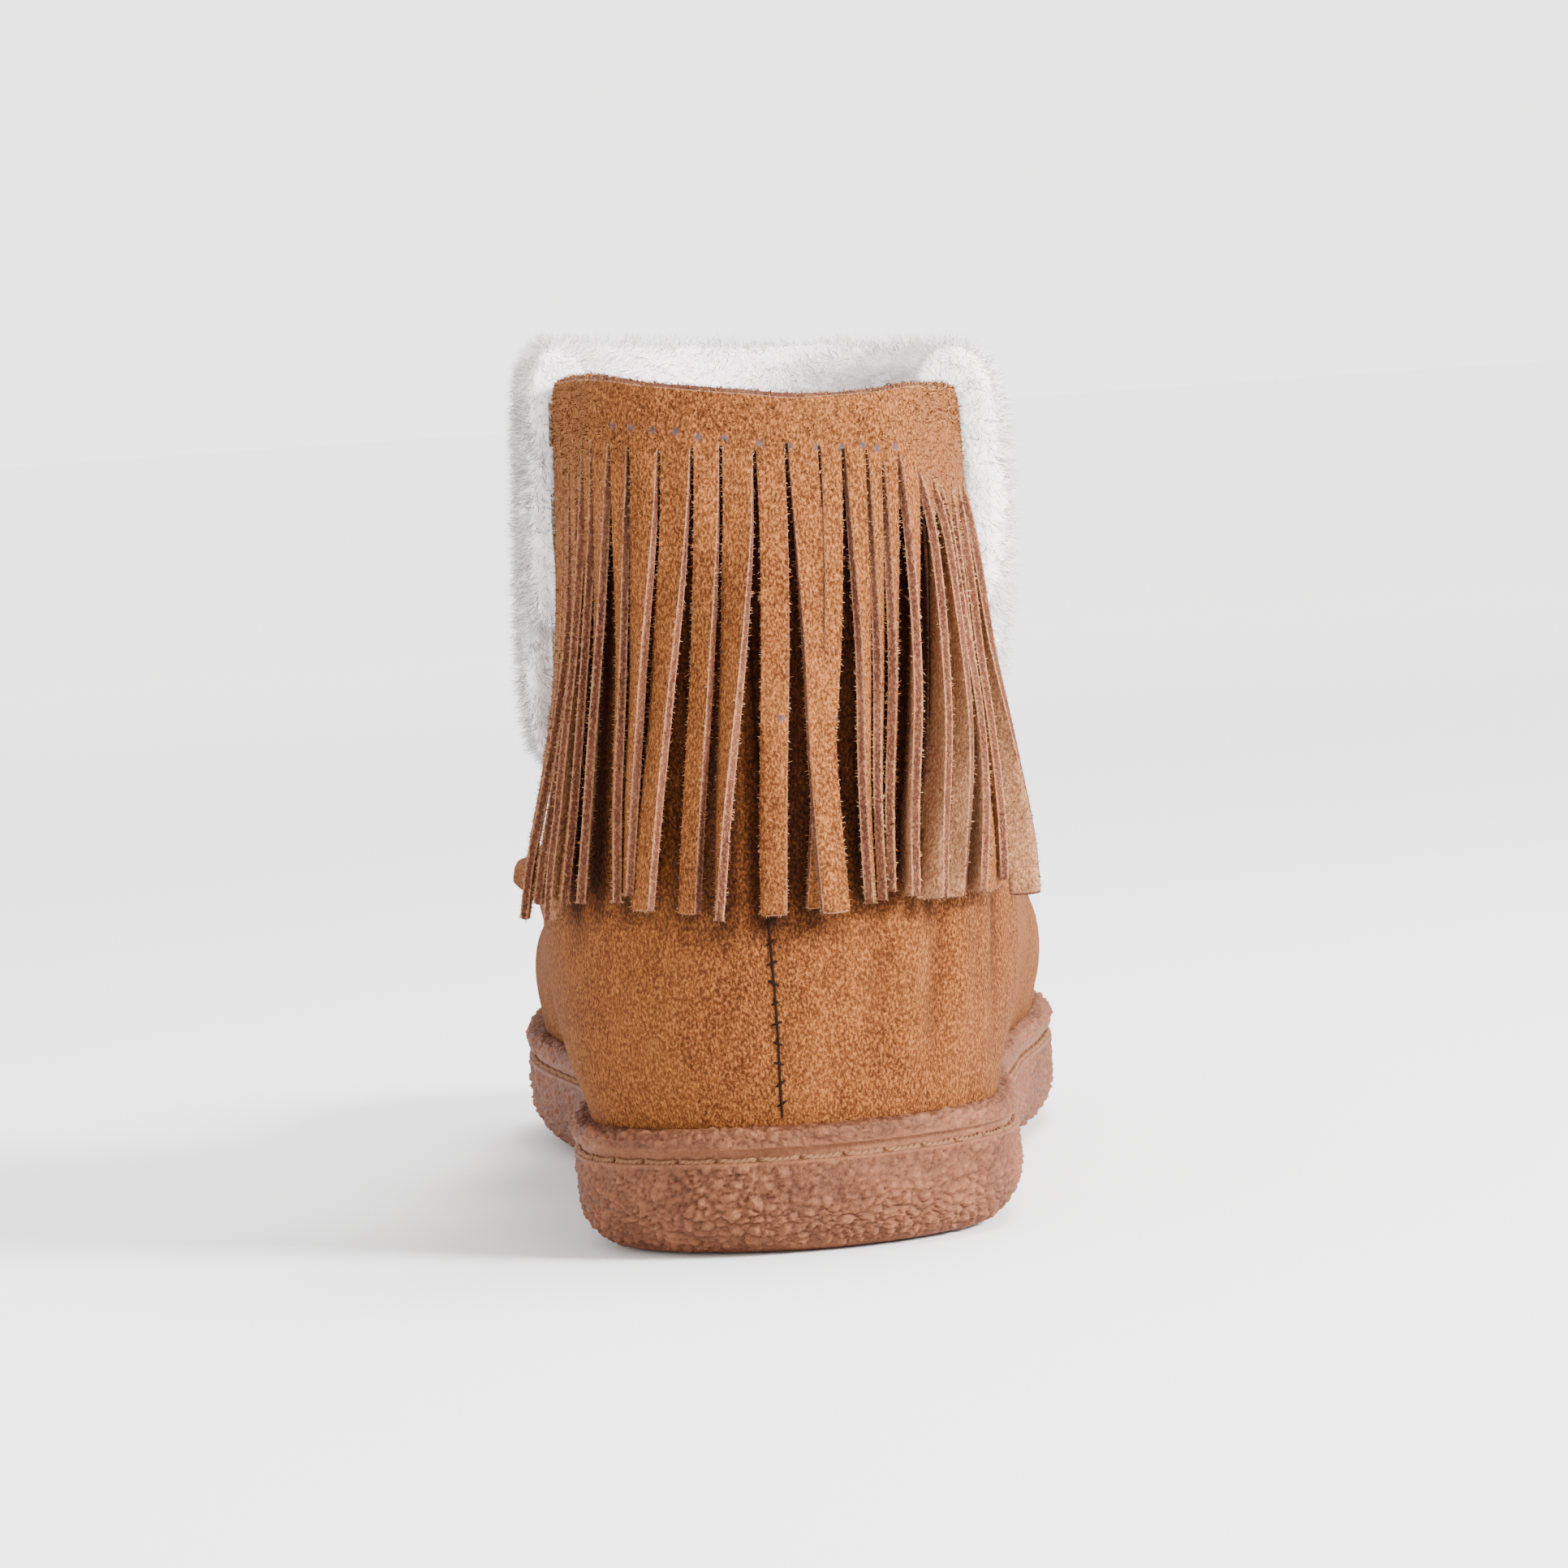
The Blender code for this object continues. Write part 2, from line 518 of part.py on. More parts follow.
def make_cuff(material):
    """Fleece cuff folded down over the collar, round the sides and the front, with soft locks on its face."""
    top = SHAFT_HEIGHT
    start = angle_at(PANEL_REACH_OUTER + PANEL_GAP, top - BAND_HEIGHT)
    end = 2 * math.pi + angle_at(-PANEL_REACH_INNER - PANEL_GAP, top - BAND_HEIGHT)
    angles = np.linspace(start, end, CUFF_SECTIONS)
    hem = cuff_hem(angles)
    fleece = FLEECE_DEPTH_INNER + (FLEECE_DEPTH_OUTER - FLEECE_DEPTH_INNER) * ease(np.sin(angles), -1, 1)
    outer_side = FLEECE_EASE + fleece
    inner_side = -WALL - CLEARANCE
    ends = np.clip(np.minimum(np.arange(CUFF_SECTIONS), np.arange(CUFF_SECTIONS)[::-1]) / 2, 0, 1)
    outer, inner = [], []
    for share, full in CUFF_FACE:
        height = hem + share * (top - hem)
        lock = LOCK_RELIEF * np.sin(9 * angles + 14 * share) * np.sin(17 * angles - 9 * share)
        depth = FLEECE_EASE + (fleece * full * (0.8 + 0.2 * ends) + lock * (full > 0.8))
        outer.append(skin(angles, height, depth))
        inner.append(skin(angles, height, FLEECE_EASE))
    crown = top + 0 * angles
    outer += [collar(angles, outside * outer_side + (inner_side if inside else 0) - inside * FLEECE_INSIDE,
                     rise * FLEECE_CROWN) for outside, inside, rise in CUFF_FOLD]
    outer += [skin(angles, crown - 0.4 * FLEECE_HOOK, inner_side - FLEECE_INSIDE),
              skin(angles, crown - FLEECE_HOOK, inner_side - 0.7 * FLEECE_INSIDE)]
    inner += [collar(angles, FLEECE_EASE, 0.5 * CLEARANCE), collar(angles, 0, CLEARANCE),
              collar(angles, -WALL, CLEARANCE), collar(angles, inner_side, 0),
              skin(angles, crown - 0.4 * FLEECE_HOOK, inner_side), skin(angles, crown - FLEECE_HOOK, inner_side)]
    section = np.concatenate([np.stack(outer), np.stack(inner)[::-1]])
    loop = section.shape[0]
    points = section.transpose(1, 0, 2).reshape(-1, 3)
    faces = loft_faces(len(angles), loop, False)
    half = loop // 2
    for first in (0, (len(angles) - 1) * loop):
        faces += [(first + row, first + row + 1, first + loop - row - 2, first + loop - row - 1)
                  for row in range(half - 1)]
    return add_piece("fleece_cuff", points, faces, material)


make_outsole(plain_finish("sole_rubber", (0.42, 0.21, 0.125), 0.65))
make_insole(plain_finish("footbed_fleece", (0.80, 0.73, 0.66), 1.0))
make_upper(plain_finish("upper_suede", (0.45, 0.20, 0.065), 0.95))
make_fringe(plain_finish("fringe_suede", (0.42, 0.18, 0.060), 0.95))
make_cuff(plain_finish("white_fleece", (0.86, 0.80, 0.76), 1.0))
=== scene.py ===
"""Looks of the house slipper: suede, fringe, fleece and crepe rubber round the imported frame.

Everything is in metres in the frame's own axes: +Y runs to the toe, +X to the shoe's outer side and +Z up.
"""

import logging
import math
from dataclasses import dataclass, field
from enum import Enum
from functools import cached_property
from typing import Callable, Optional, Sequence

import bmesh
import bpy
import numpy as np
from mathutils import Matrix, Vector
from mathutils.bvhtree import BVHTree
from mathutils.kdtree import KDTree


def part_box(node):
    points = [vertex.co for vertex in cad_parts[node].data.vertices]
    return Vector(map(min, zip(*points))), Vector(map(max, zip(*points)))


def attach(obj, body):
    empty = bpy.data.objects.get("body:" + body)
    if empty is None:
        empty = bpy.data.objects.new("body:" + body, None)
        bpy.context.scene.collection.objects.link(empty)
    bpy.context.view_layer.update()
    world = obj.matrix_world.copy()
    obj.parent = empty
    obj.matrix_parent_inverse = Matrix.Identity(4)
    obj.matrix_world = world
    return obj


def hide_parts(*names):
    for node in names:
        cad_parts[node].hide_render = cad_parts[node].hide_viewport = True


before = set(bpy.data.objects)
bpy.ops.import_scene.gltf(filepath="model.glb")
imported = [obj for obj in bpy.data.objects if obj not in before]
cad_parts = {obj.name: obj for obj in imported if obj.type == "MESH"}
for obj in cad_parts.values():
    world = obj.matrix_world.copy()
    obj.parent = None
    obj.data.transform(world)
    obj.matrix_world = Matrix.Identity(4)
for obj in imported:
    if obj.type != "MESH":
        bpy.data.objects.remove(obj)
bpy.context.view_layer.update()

log = logging.getLogger("house_slipper")
Mesh = bpy.types.Mesh
Piece = bpy.types.Object
Socket = bpy.types.NodeSocket

MM = 0.001
PHOTO_SIZE = 1932
BODY = "root"
WHITE = (1.0, 1.0, 1.0)
BLACK = (0.0, 0.0, 0.0)

# Numbers that scramble the cells of a random pattern, and shifts that keep the cells positive
CELL_PRIMES = (73856093, 19349663, 83492791)
SEED_PRIME = 2654435
SCRAMBLER = 1274126177
GRAIN_SHIFT = 1000.0
CRUMB_SHIFT = 500.0

# Line inside the shoe from which all of its wall is seen: along the foot, then up the shaft
AXIS_ENDS = (8 * MM, 188 * MM)
AXIS_HEIGHT = 26 * MM
AXIS_SHAFT = 22 * MM
SHAFT_RISE = (50 * MM, 80 * MM)
SAME_WALL = 0.9 * MM

# Direction that none of the shoe's threads runs in
SKEW = np.array([0.31, 0.17, 0.93])


class Side(Enum):
    """Faces of a sheet of suede."""

    NAP = 0
    CUT_EDGE = 1
    FLESH = 2


# Helpers on arrays


def ease(value: np.ndarray, start: float, end: float) -> np.ndarray:
    """Rise smoothly from 0 at start to 1 at end.

    Args:
        value: Places to read.
        start: Place where the rise begins.
        end: Place where it is complete.

    Returns:
        The share, from 0 to 1, at each place.
    """
    share = np.clip((value - start) / (end - start), 0, 1)
    return share * share * (3 - 2 * share)


def hill(value: np.ndarray, middle: float, spread: float) -> np.ndarray:
    """Soft hill of height 1 at its middle.

    Args:
        value: Places to read.
        middle: Place of the hill's top.
        spread: Distance at which the hill has fallen to about a third.

    Returns:
        The hill's height at each place.
    """
    return np.exp(-((value - middle) / spread) ** 2)


def unit(vectors: np.ndarray) -> np.ndarray:
    """Vectors of length 1 in the same directions."""
    return vectors / np.maximum(np.linalg.norm(vectors, axis=-1, keepdims=True), 1e-12)


def lattice(cells: np.ndarray, seed: int) -> np.ndarray:
    """Random number from 0 to 1 for each whole-numbered cell.

    Args:
        cells: Whole coordinates, one row of three for each cell.
        seed: Number that chooses the pattern.

    Returns:
        One number for each row.
    """
    mixed = seed * SEED_PRIME
    for axis, prime in enumerate(CELL_PRIMES):
        mixed = (cells[..., axis] * prime) ^ mixed
    mixed = (mixed ^ (mixed >> 13)) * SCRAMBLER & 0x7FFFFFFF
    return ((mixed ^ (mixed >> 16)) & 0xFFFFFF) / float(0xFFFFFF)


def grain(points: np.ndarray, cell: float, seed: int) -> np.ndarray:
    """Smooth random relief through space.

    Args:
        points: Points, one row of three for each.
        cell: Size of one bump.
        seed: Number that chooses the pattern.

    Returns:
        Height from -1 to 1 at each point.
    """
    place = points / cell + GRAIN_SHIFT
    base = np.floor(place).astype(np.int64)
    part = place - base
    part = part * part * (3 - 2 * part)
    total = np.zeros(len(points))
    for corner in range(8):
        step = np.array([corner & 1, corner >> 1 & 1, corner >> 2 & 1])
        weight = np.prod(np.where(step == 1, part, 1 - part), axis=1)
        total += weight * lattice(base + step, seed)
    return 2 * total - 1


def crumbs(points: np.ndarray, cell: float, seed: int, steep: float = 1.6,
           roundness: float = 0.6) -> np.ndarray:
    """Rounded lumps parted by narrow creases, as on crepe rubber.

    Args:
        points: Points, one row of three for each.
        cell: Size of one lump.
        seed: Number that chooses the pattern.
        steep: How steeply a lump rises from its creases.
        roundness: Power that rounds a lump's top, fuller the smaller it is.

    Returns:
        Height from 0 in the creases to about 1 on the lumps.
    """
    place = points / cell + CRUMB_SHIFT
    base = np.floor(place).astype(np.int64)
    nearest = np.full(len(points), np.inf)
    second = np.full(len(points), np.inf)
    for corner in range(27):
        cells = base + np.array([corner % 3 - 1, corner // 3 % 3 - 1, corner // 9 - 1])
        centre = cells + np.stack([lattice(cells, seed + axis) for axis in range(3)], axis=1)
        distance = np.linalg.norm(place - centre, axis=1)
        second = np.where(distance < nearest, nearest, np.minimum(second, distance))
        nearest = np.minimum(nearest, distance)
    return np.clip(steep * (second - nearest), 0, 1) ** roundness


# Helpers on meshes


def coordinates(mesh: Mesh) -> np.ndarray:
    """Vertices of a mesh as an array.

    Args:
        mesh: The mesh.

    Returns:
        One row for each vertex.
    """
    flat = np.empty(len(mesh.vertices) * 3)
    mesh.vertices.foreach_get("co", flat)
    return flat.reshape(-1, 3)


def vertex_normals(mesh: Mesh) -> np.ndarray:
    """Vertex normals of a mesh as an array.

    Args:
        mesh: The mesh.

    Returns:
        One row for each vertex.
    """
    flat = np.empty(len(mesh.vertices) * 3)
    mesh.vertex_normals.foreach_get("vector", flat)
    return flat.reshape(-1, 3)


def move_to(mesh: Mesh, points: np.ndarray) -> None:
    """Put a mesh's vertices at new places."""
    mesh.vertices.foreach_set("co", np.asarray(points, np.float32).ravel())
    mesh.update()


def store(mesh: Mesh, name: str, values: np.ndarray) -> None:
    """Keep one number for each vertex in an attribute that a material reads."""
    mesh.attributes.new(name, "FLOAT", "POINT").data.foreach_set("value", values.astype(np.float32))


def choose_faces(mesh: Mesh, share: np.ndarray, limit: float) -> None:
    """Give the mesh's second material to the faces on which a share is low.

    Args:
        mesh: The mesh, with two materials.
        share: One number for each vertex.
        limit: Mean of a face's corners below which the face is chosen.
    """
    means = np.array([float(share[list(face.vertices)].mean()) for face in mesh.polygons])
    mesh.polygons.foreach_set("material_index", (means < limit).astype(np.int32))


def link(name: str, mesh: Mesh) -> Piece:
    """Make an object of a mesh, at the origin, in the scene.

    Args:
        name: The new piece's name.
        mesh: Its mesh.

    Returns:
        The new piece.
    """
    piece = bpy.data.objects.new(name, mesh)
    bpy.context.scene.collection.objects.link(piece)
    return piece


def finish_shell(shell: bmesh.types.BMesh, name: str) -> Piece:
    """Turn a bmesh's faces outwards and make it a smooth piece.

    Args:
        shell: The bmesh, which is freed.
        name: The new piece's name.

    Returns:
        The new piece.
    """
    bmesh.ops.recalc_face_normals(shell, faces=shell.faces)
    mesh = bpy.data.meshes.new(name)
    shell.to_mesh(mesh)
    shell.free()
    mesh.shade_smooth()
    return link(name, mesh)


def refined(node: str, name: str, levels: int, sharp_deg: float, crease: float) -> Piece:
    """Smooth, finer copy of a CAD node.

    Args:
        node: The CAD node that is copied.
        name: Name of the new piece.
        levels: How often each face is divided.
        sharp_deg: Angle between two faces above which their edge is kept sharp.
        crease: How sharp such an edge is kept, from 0 to 1.

    Returns:
        The new piece, with its mesh already divided.
    """
    shell = bmesh.new()
    shell.from_mesh(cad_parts[node].data)
    bmesh.ops.remove_doubles(shell, verts=shell.verts, dist=1e-6)
    bmesh.ops.join_triangles(shell, faces=shell.faces, angle_face_threshold=math.radians(50),
                             angle_shape_threshold=math.radians(180))
    creases = shell.edges.layers.float.new("crease_edge")
    for edge in shell.edges:
        if len(edge.link_faces) == 2 and edge.calc_face_angle() > math.radians(sharp_deg):
            edge[creases] = crease
    mesh = bpy.data.meshes.new(name)
    shell.to_mesh(mesh)
    shell.free()
    piece = link(name, mesh)
    smooth = piece.modifiers.new("smooth", "SUBSURF")
    smooth.levels = smooth.render_levels = levels
    evaluated = piece.evaluated_get(bpy.context.evaluated_depsgraph_get())
    finished = bpy.data.meshes.new_from_object(evaluated)
    finished.name = name
    piece.modifiers.clear()
    piece.data = finished
    finished.shade_smooth()
    return piece


def tree_of(mesh: Mesh) -> BVHTree:
    """Search tree of a mesh, for rays and nearest points.

    Args:
        mesh: The mesh.

    Returns:
        Its tree.
    """
    shell = bmesh.new()
    shell.from_mesh(mesh)
    tree = BVHTree.FromBMesh(shell)
    shell.free()
    return tree


def foot_axis(points: np.ndarray) -> np.ndarray:
    """Point inside the shoe from which each point of its wall is seen.

    Args:
        points: Points on or near the wall.

    Returns:
        One point for each.
    """
    shaft = ease(points[:, 2], *SHAFT_RISE)
    along = np.clip(points[:, 1], *AXIS_ENDS) * (1 - shaft) + AXIS_SHAFT * shaft
    height = AXIS_HEIGHT * (1 - shaft) + points[:, 2] * shaft
    return np.stack([np.zeros(len(points)), along, height], axis=1)


def inner_share(wall: BVHTree, points: np.ndarray, normals: np.ndarray) -> np.ndarray:
    """Share, 1 for points that face into the shoe and 0 for those that don't.

    Args:
        wall: Search tree of the upper's wall.
        points: Points on the wall.
        normals: The wall's normals there.

    Returns:
        One number for each point.
    """
    cores = foot_axis(points)
    facing = ease(np.einsum("ij,ij->i", normals, unit(cores - points)), 0.05, 0.3)
    for number in np.flatnonzero(facing):
        start, end = Vector(cores[number]), Vector(points[number])
        hit = wall.ray_cast(start, (end - start).normalized())[0]
        if hit is None or (hit - end).length > SAME_WALL:
            facing[number] = 0
    return facing


@dataclass
class Samples:
    """Points scattered over a surface, with the surface's normals there."""

    points: np.ndarray
    normals: np.ndarray

    def keep(self, mask: np.ndarray) -> "Samples":
        """Only the points that a mask picks."""
        return Samples(self.points[mask], self.normals[mask])

    def first(self, count: int) -> "Samples":
        """Only the first points."""
        return Samples(self.points[:count], self.normals[:count])

    def __len__(self) -> int:
        """How many points there are."""
        return len(self.points)


def scatter(mesh: Mesh, count: int, rng: np.random.Generator,
            weigh: Optional[Callable[[np.ndarray], np.ndarray]] = None) -> Samples:
    """Scatter points evenly over a mesh.

    Args:
        mesh: The surface.
        count: How many points.
        rng: Source of the random numbers.
        weigh: Optional density for each triangle, from the middles of the triangles.

    Returns:
        The points and their smooth normals.
    """
    mesh.calc_loop_triangles()
    corners = np.empty(len(mesh.loop_triangles) * 3, np.int64)
    mesh.loop_triangles.foreach_get("vertices", corners)
    corners = corners.reshape(-1, 3)
    places, normals = coordinates(mesh), vertex_normals(mesh)
    a, b, c = (places[corners[:, side]] for side in range(3))
    area = 0.5 * np.linalg.norm(np.cross(b - a, c - a), axis=1)
    if weigh is not None:
        area = area * weigh((a + b + c) / 3)
    chosen = rng.choice(len(area), count, p=area / area.sum())
    u, v = rng.random(count), rng.random(count)
    flip = u + v > 1
    u, v = np.where(flip, 1 - u, u), np.where(flip, 1 - v, v)
    shares = np.stack([1 - u - v, u, v], axis=1)
    tri = corners[chosen]
    point = sum(shares[:, side, None] * places[tri[:, side]] for side in range(3))
    normal = sum(shares[:, side, None] * normals[tri[:, side]] for side in range(3))
    return Samples(point, unit(normal))


@dataclass(frozen=True)
class Fibres:
    """Fibres of a pile or a nap. Those that aren't opaque cast no shadows, so that white wool stays white."""

    length: float
    width: float
    bend: float
    spread: float
    clump: float
    steps: int = 3
    opaque: bool = True
    combed: float = 0.5
    locked: float = 0.6
    least_rise: float = 0.45
    taper: float = 0.75
    softness: float = 0.35

    def curves(self, roots: Samples, comb: np.ndarray,
               rng: np.random.Generator) -> tuple[np.ndarray, np.ndarray]:
        """Bend each fibre from its root to its tip.

        Args:
            roots: Where the fibres stand, and the surface's normals there.
            comb: Direction in which the pile is brushed, one row for each root or one for all.
            rng: Source of the random numbers.

        Returns:
            Both sides of each fibre from the root up, then its tip, and the fibres' directions at the root.
        """
        count = len(roots)
        locks = np.stack([grain(roots.points, self.clump, seed) for seed in (11, 12, 13)], axis=1)
        loose = rng.normal(size=(count, 3)) * self.spread
        lean = unit(roots.normals + self.combed * comb + self.locked * locks + loose)
        shy = np.maximum(0, self.least_rise - np.einsum("ij,ij->i", lean, roots.normals))
        lean = unit(lean + shy[:, None] * roots.normals)
        curl = unit(np.cross(lean, rng.normal(size=(count, 3)))) * self.bend + 0.5 * self.bend * locks
        length = self.length * (0.65 + 0.7 * rng.random(count))[:, None]
        across = unit(np.cross(lean, rng.normal(size=(count, 3)))) * self.width * 0.5
        sides = []
        for step in range(self.steps + 1):
            share = step / self.steps
            centre = roots.points + length * (share * lean + share ** 2 * curl)
            half = across * (1 - self.taper * share ** 1.5)
            sides += [centre - half, centre + half] if step < self.steps else [centre]
        return np.stack(sides, axis=1), lean

    def grow(self, name: str, roots: Samples, comb: np.ndarray, rng: np.random.Generator) -> Piece:
        """Grow one flat, tapered, curved fibre from each root.

        Args:
            name: Name of the new piece.
            roots: Where the fibres stand, and the surface's normals there.
            comb: Direction in which the pile is brushed, one row for each root or one for all.
            rng: Source of the random numbers.

        Returns:
            The piece that holds all the fibres.
        """
        count = len(roots)
        points, lean = self.curves(roots, comb, rng)
        stride = points.shape[1]
        first = np.arange(count)[:, None] * stride
        quads = np.concatenate([first + np.array([2 * s, 2 * s + 1, 2 * s + 3, 2 * s + 2])
                                for s in range(self.steps - 1)])
        tips = first + np.array([stride - 3, stride - 2, stride - 1])
        mesh = bpy.data.meshes.new(name)
        mesh.vertices.add(count * stride)
        mesh.vertices.foreach_set("co", points.astype(np.float32).ravel())
        corners = np.concatenate([quads.ravel(), tips.ravel()])
        mesh.loops.add(len(corners))
        mesh.loops.foreach_set("vertex_index", corners.astype(np.int32))
        sizes = np.concatenate([np.full(len(quads), 4), np.full(len(tips), 3)])
        mesh.polygons.add(len(sizes))
        mesh.polygons.foreach_set("loop_start", np.concatenate([[0], np.cumsum(sizes)[:-1]]).astype(np.int32))
        mesh.update(calc_edges=True)
        mesh.shade_smooth()
        soft = np.repeat(unit(roots.normals + self.softness * lean), stride, axis=0)
        mesh.normals_split_custom_set_from_vertices(soft)
        store(mesh, "fibre", np.repeat(rng.random(count), stride))
        steps = np.array([step / self.steps for step in range(self.steps + 1) for _ in range(2)][:stride])
        store(mesh, "along", np.tile(steps, count))
        piece = link(name, mesh)
        piece.visible_shadow = self.opaque
        return piece


@dataclass(frozen=True)
class Rod:
    """Round rod that is bent along many lines at once, for threads."""

    radius: float
    rings: int
    sides: int = 6
    end_share: float = 0.55

    def template(self) -> tuple[np.ndarray, np.ndarray, list]:
        """Straight rod of radius 1.

        Returns:
            The ring of each vertex, its place across the rod, and the faces.
        """
        shell = bmesh.new()
        bmesh.ops.create_cone(shell, cap_ends=True, segments=self.sides, radius1=1, radius2=1, depth=1)
        for ring in range(1, self.rings - 1):
            cut = Vector((0, 0, ring / (self.rings - 1) - 0.5))
            bmesh.ops.bisect_plane(shell, geom=shell.verts[:] + shell.edges[:] + shell.faces[:], plane_co=cut,
                                   plane_no=Vector((0, 0, 1)))
        shell.verts.index_update()
        places = np.array([vert.co[:] for vert in shell.verts])
        faces = [[vert.index for vert in face.verts] for face in shell.faces]
        shell.free()
        return np.rint((places[:, 2] + 0.5) * (self.rings - 1)).astype(int), places[:, :2], faces

    def bend(self, name: str, lines: np.ndarray) -> Piece:
        """Bend a copy of the rod along each line.

        Args:
            name: Name of the piece that holds all the copies.
            lines: Points along the rods' middles, as (rod, ring, axis).

        Returns:
            The new piece.
        """
        ring, across, faces = self.template()
        ahead = unit(np.gradient(lines, axis=1))
        side = unit(np.cross(ahead, SKEW))
        over = np.cross(side, ahead)
        size = np.full(self.rings, self.radius)
        size[[0, -1]] *= self.end_share
        outward = across[:, :1] * side[:, ring] + across[:, 1:] * over[:, ring]
        places = lines[:, ring] + size[ring][:, None] * outward
        mesh = bpy.data.meshes.new(name)
        step = len(ring)
        mesh.from_pydata(places.reshape(-1, 3), [], [[corner + rod * step for corner in face]
                                                     for rod in range(len(lines)) for face in faces])
        mesh.update()
        mesh.shade_smooth()
        return link(name, mesh)


@dataclass(frozen=True)
class Swell:
    """Soft rise of a surface, or a crease where its height is negative."""

    place: float
    height: float
    width: float
    lean: float = 0.0
    middle: float = 0.0

    def rise(self, across: np.ndarray) -> np.ndarray:
        """How far the surface rises at places across the swell."""
        return self.height * hill(across, self.place, self.width)


def settle(piece: Piece, material: bpy.types.Material, slot: str, *replaced: str) -> None:
    """Give a piece its finish, its body and the CAD nodes that it stands for.

    Args:
        piece: The piece.
        material: Its only or its first material.
        slot: Not used.
        replaced: Names of the CAD nodes that it replaces.
    """
    if not piece.data.materials:
        piece.data.materials.append(material)
    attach(piece, BODY)
    if replaced:
        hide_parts(*replaced)
    piece.data.calc_loop_triangles()
    log.info("%s: %d triangles", piece.name, len(piece.data.loop_triangles))


# Finishes


class Nodes:
    """Short hand for building one material's nodes."""

    def __init__(self, name: str) -> None:
        """Start a material with a plain shader.

        Args:
            name: The material's name.
        """
        self.material = bpy.data.materials.new(name)
        self.material.use_nodes = True
        self.tree = self.material.node_tree
        self.shader = self.tree.nodes["Principled BSDF"]
        self.place = self.add("ShaderNodeTexCoord").outputs["Object"]

    def add(self, kind: str, **settings: object) -> bpy.types.Node:
        """Add a node and set its properties.

        Args:
            kind: Blender's name of the node.
            **settings: Values of its properties.

        Returns:
            The node.
        """
        node = self.tree.nodes.new(kind)
        for key, value in settings.items():
            setattr(node, key, value)
        return node

    def join(self, source: Socket, target: Socket) -> None:
        """Link two sockets."""
        self.tree.links.new(source, target)

    def feed(self, value: object, socket: Socket) -> None:
        """Link a socket, or set the value, at another socket.

        Args:
            value: A socket, a number or a colour.
            socket: The input that it feeds.
        """
        if isinstance(value, Socket):
            self.join(value, socket)
        else:
            socket.default_value = value if isinstance(value, (int, float)) else (*value, 1)

    def noise(self, cell: float, detail: float = 3.0, rough: float = 0.6,
              scale: Sequence[float] = (1, 1, 1)) -> Socket:
        """Noise from 0 to 1 on Object coordinates.

        Args:
            cell: Rough size of one bump in metres.
            detail: How many finer layers it has.
            rough: How strong they are.
            scale: Stretch of the pattern on each axis.

        Returns:
            The noise.
        """
        mapping = self.add("ShaderNodeMapping")
        mapping.inputs["Scale"].default_value = scale
        self.join(self.place, mapping.inputs["Vector"])
        node = self.add("ShaderNodeTexNoise")
        node.inputs["Scale"].default_value = 1 / cell
        node.inputs["Detail"].default_value = detail
        node.inputs["Roughness"].default_value = rough
        self.join(mapping.outputs["Vector"], node.inputs["Vector"])
        return node.outputs["Fac"]

    def ramp(self, source: Socket, stops: Sequence[tuple]) -> Socket:
        """Colours along a number.

        Args:
            source: The number.
            stops: Pairs of a place and the colour there.

        Returns:
            The colour.
        """
        node = self.add("ShaderNodeValToRGB")
        band = node.color_ramp
        while len(band.elements) < len(stops):
            band.elements.new(0.5)
        for element, (position, colour) in zip(band.elements, stops):
            element.position = position
            element.color = (*colour, 1)
        self.join(source, node.inputs["Fac"])
        return node.outputs["Color"]

    def mix(self, share: object, first: object, second: object, blend: str = "MIX") -> Socket:
        """Mix two colours; each input is a socket or a value.

        Args:
            share: How much of the second colour.
            first: The first colour.
            second: The second colour.
            blend: Blender's name of the way to mix.

        Returns:
            The mixed colour.
        """
        node = self.add("ShaderNodeMix", data_type="RGBA", blend_type=blend)
        for value, number in ((share, 0), (first, 6), (second, 7)):
            self.feed(value, node.inputs[number])
        return node.outputs[2]

    def shade(self, colour: object, by: object) -> Socket:
        """Darken a colour by another one."""
        return self.mix(1.0, colour, by, "MULTIPLY")

    def combine(self, first: object, second: object, how: str) -> Socket:
        """Combine two numbers; each is a socket or a value.

        Args:
            first: The first number.
            second: The second number.
            how: Blender's name of the sum.

        Returns:
            The result.
        """
        node = self.add("ShaderNodeMath", operation=how)
        self.feed(first, node.inputs[0])
        self.feed(second, node.inputs[1])
        return node.outputs[0]

    def blend(self, first: Socket, first_part: float, second: Socket, second_part: float) -> Socket:
        """Sum of parts of two numbers.

        Args:
            first: The first number.
            first_part: How much of it.
            second: The second number.
            second_part: How much of it.

        Returns:
            The sum.
        """
        parts = (self.combine(first, first_part, "MULTIPLY"), self.combine(second, second_part, "MULTIPLY"))
        return self.combine(*parts, "ADD")

    def attribute(self, name: str) -> Socket:
        """Number that the piece carries in an attribute."""
        return self.add("ShaderNodeAttribute", attribute_name=name).outputs["Fac"]

    def bump(self, height: Socket, depth: float, under: Optional[Socket] = None) -> Socket:
        """Bump over the surface.

        Args:
            height: Height from 0 to 1.
            depth: Depth in metres.
            under: Another bump under this one.

        Returns:
            The bumped normal.
        """
        node = self.add("ShaderNodeBump")
        node.inputs["Strength"].default_value = 1.0
        node.inputs["Distance"].default_value = depth
        self.join(height, node.inputs["Height"])
        if under is not None:
            self.join(under, node.inputs["Normal"])
        return node.outputs["Normal"]

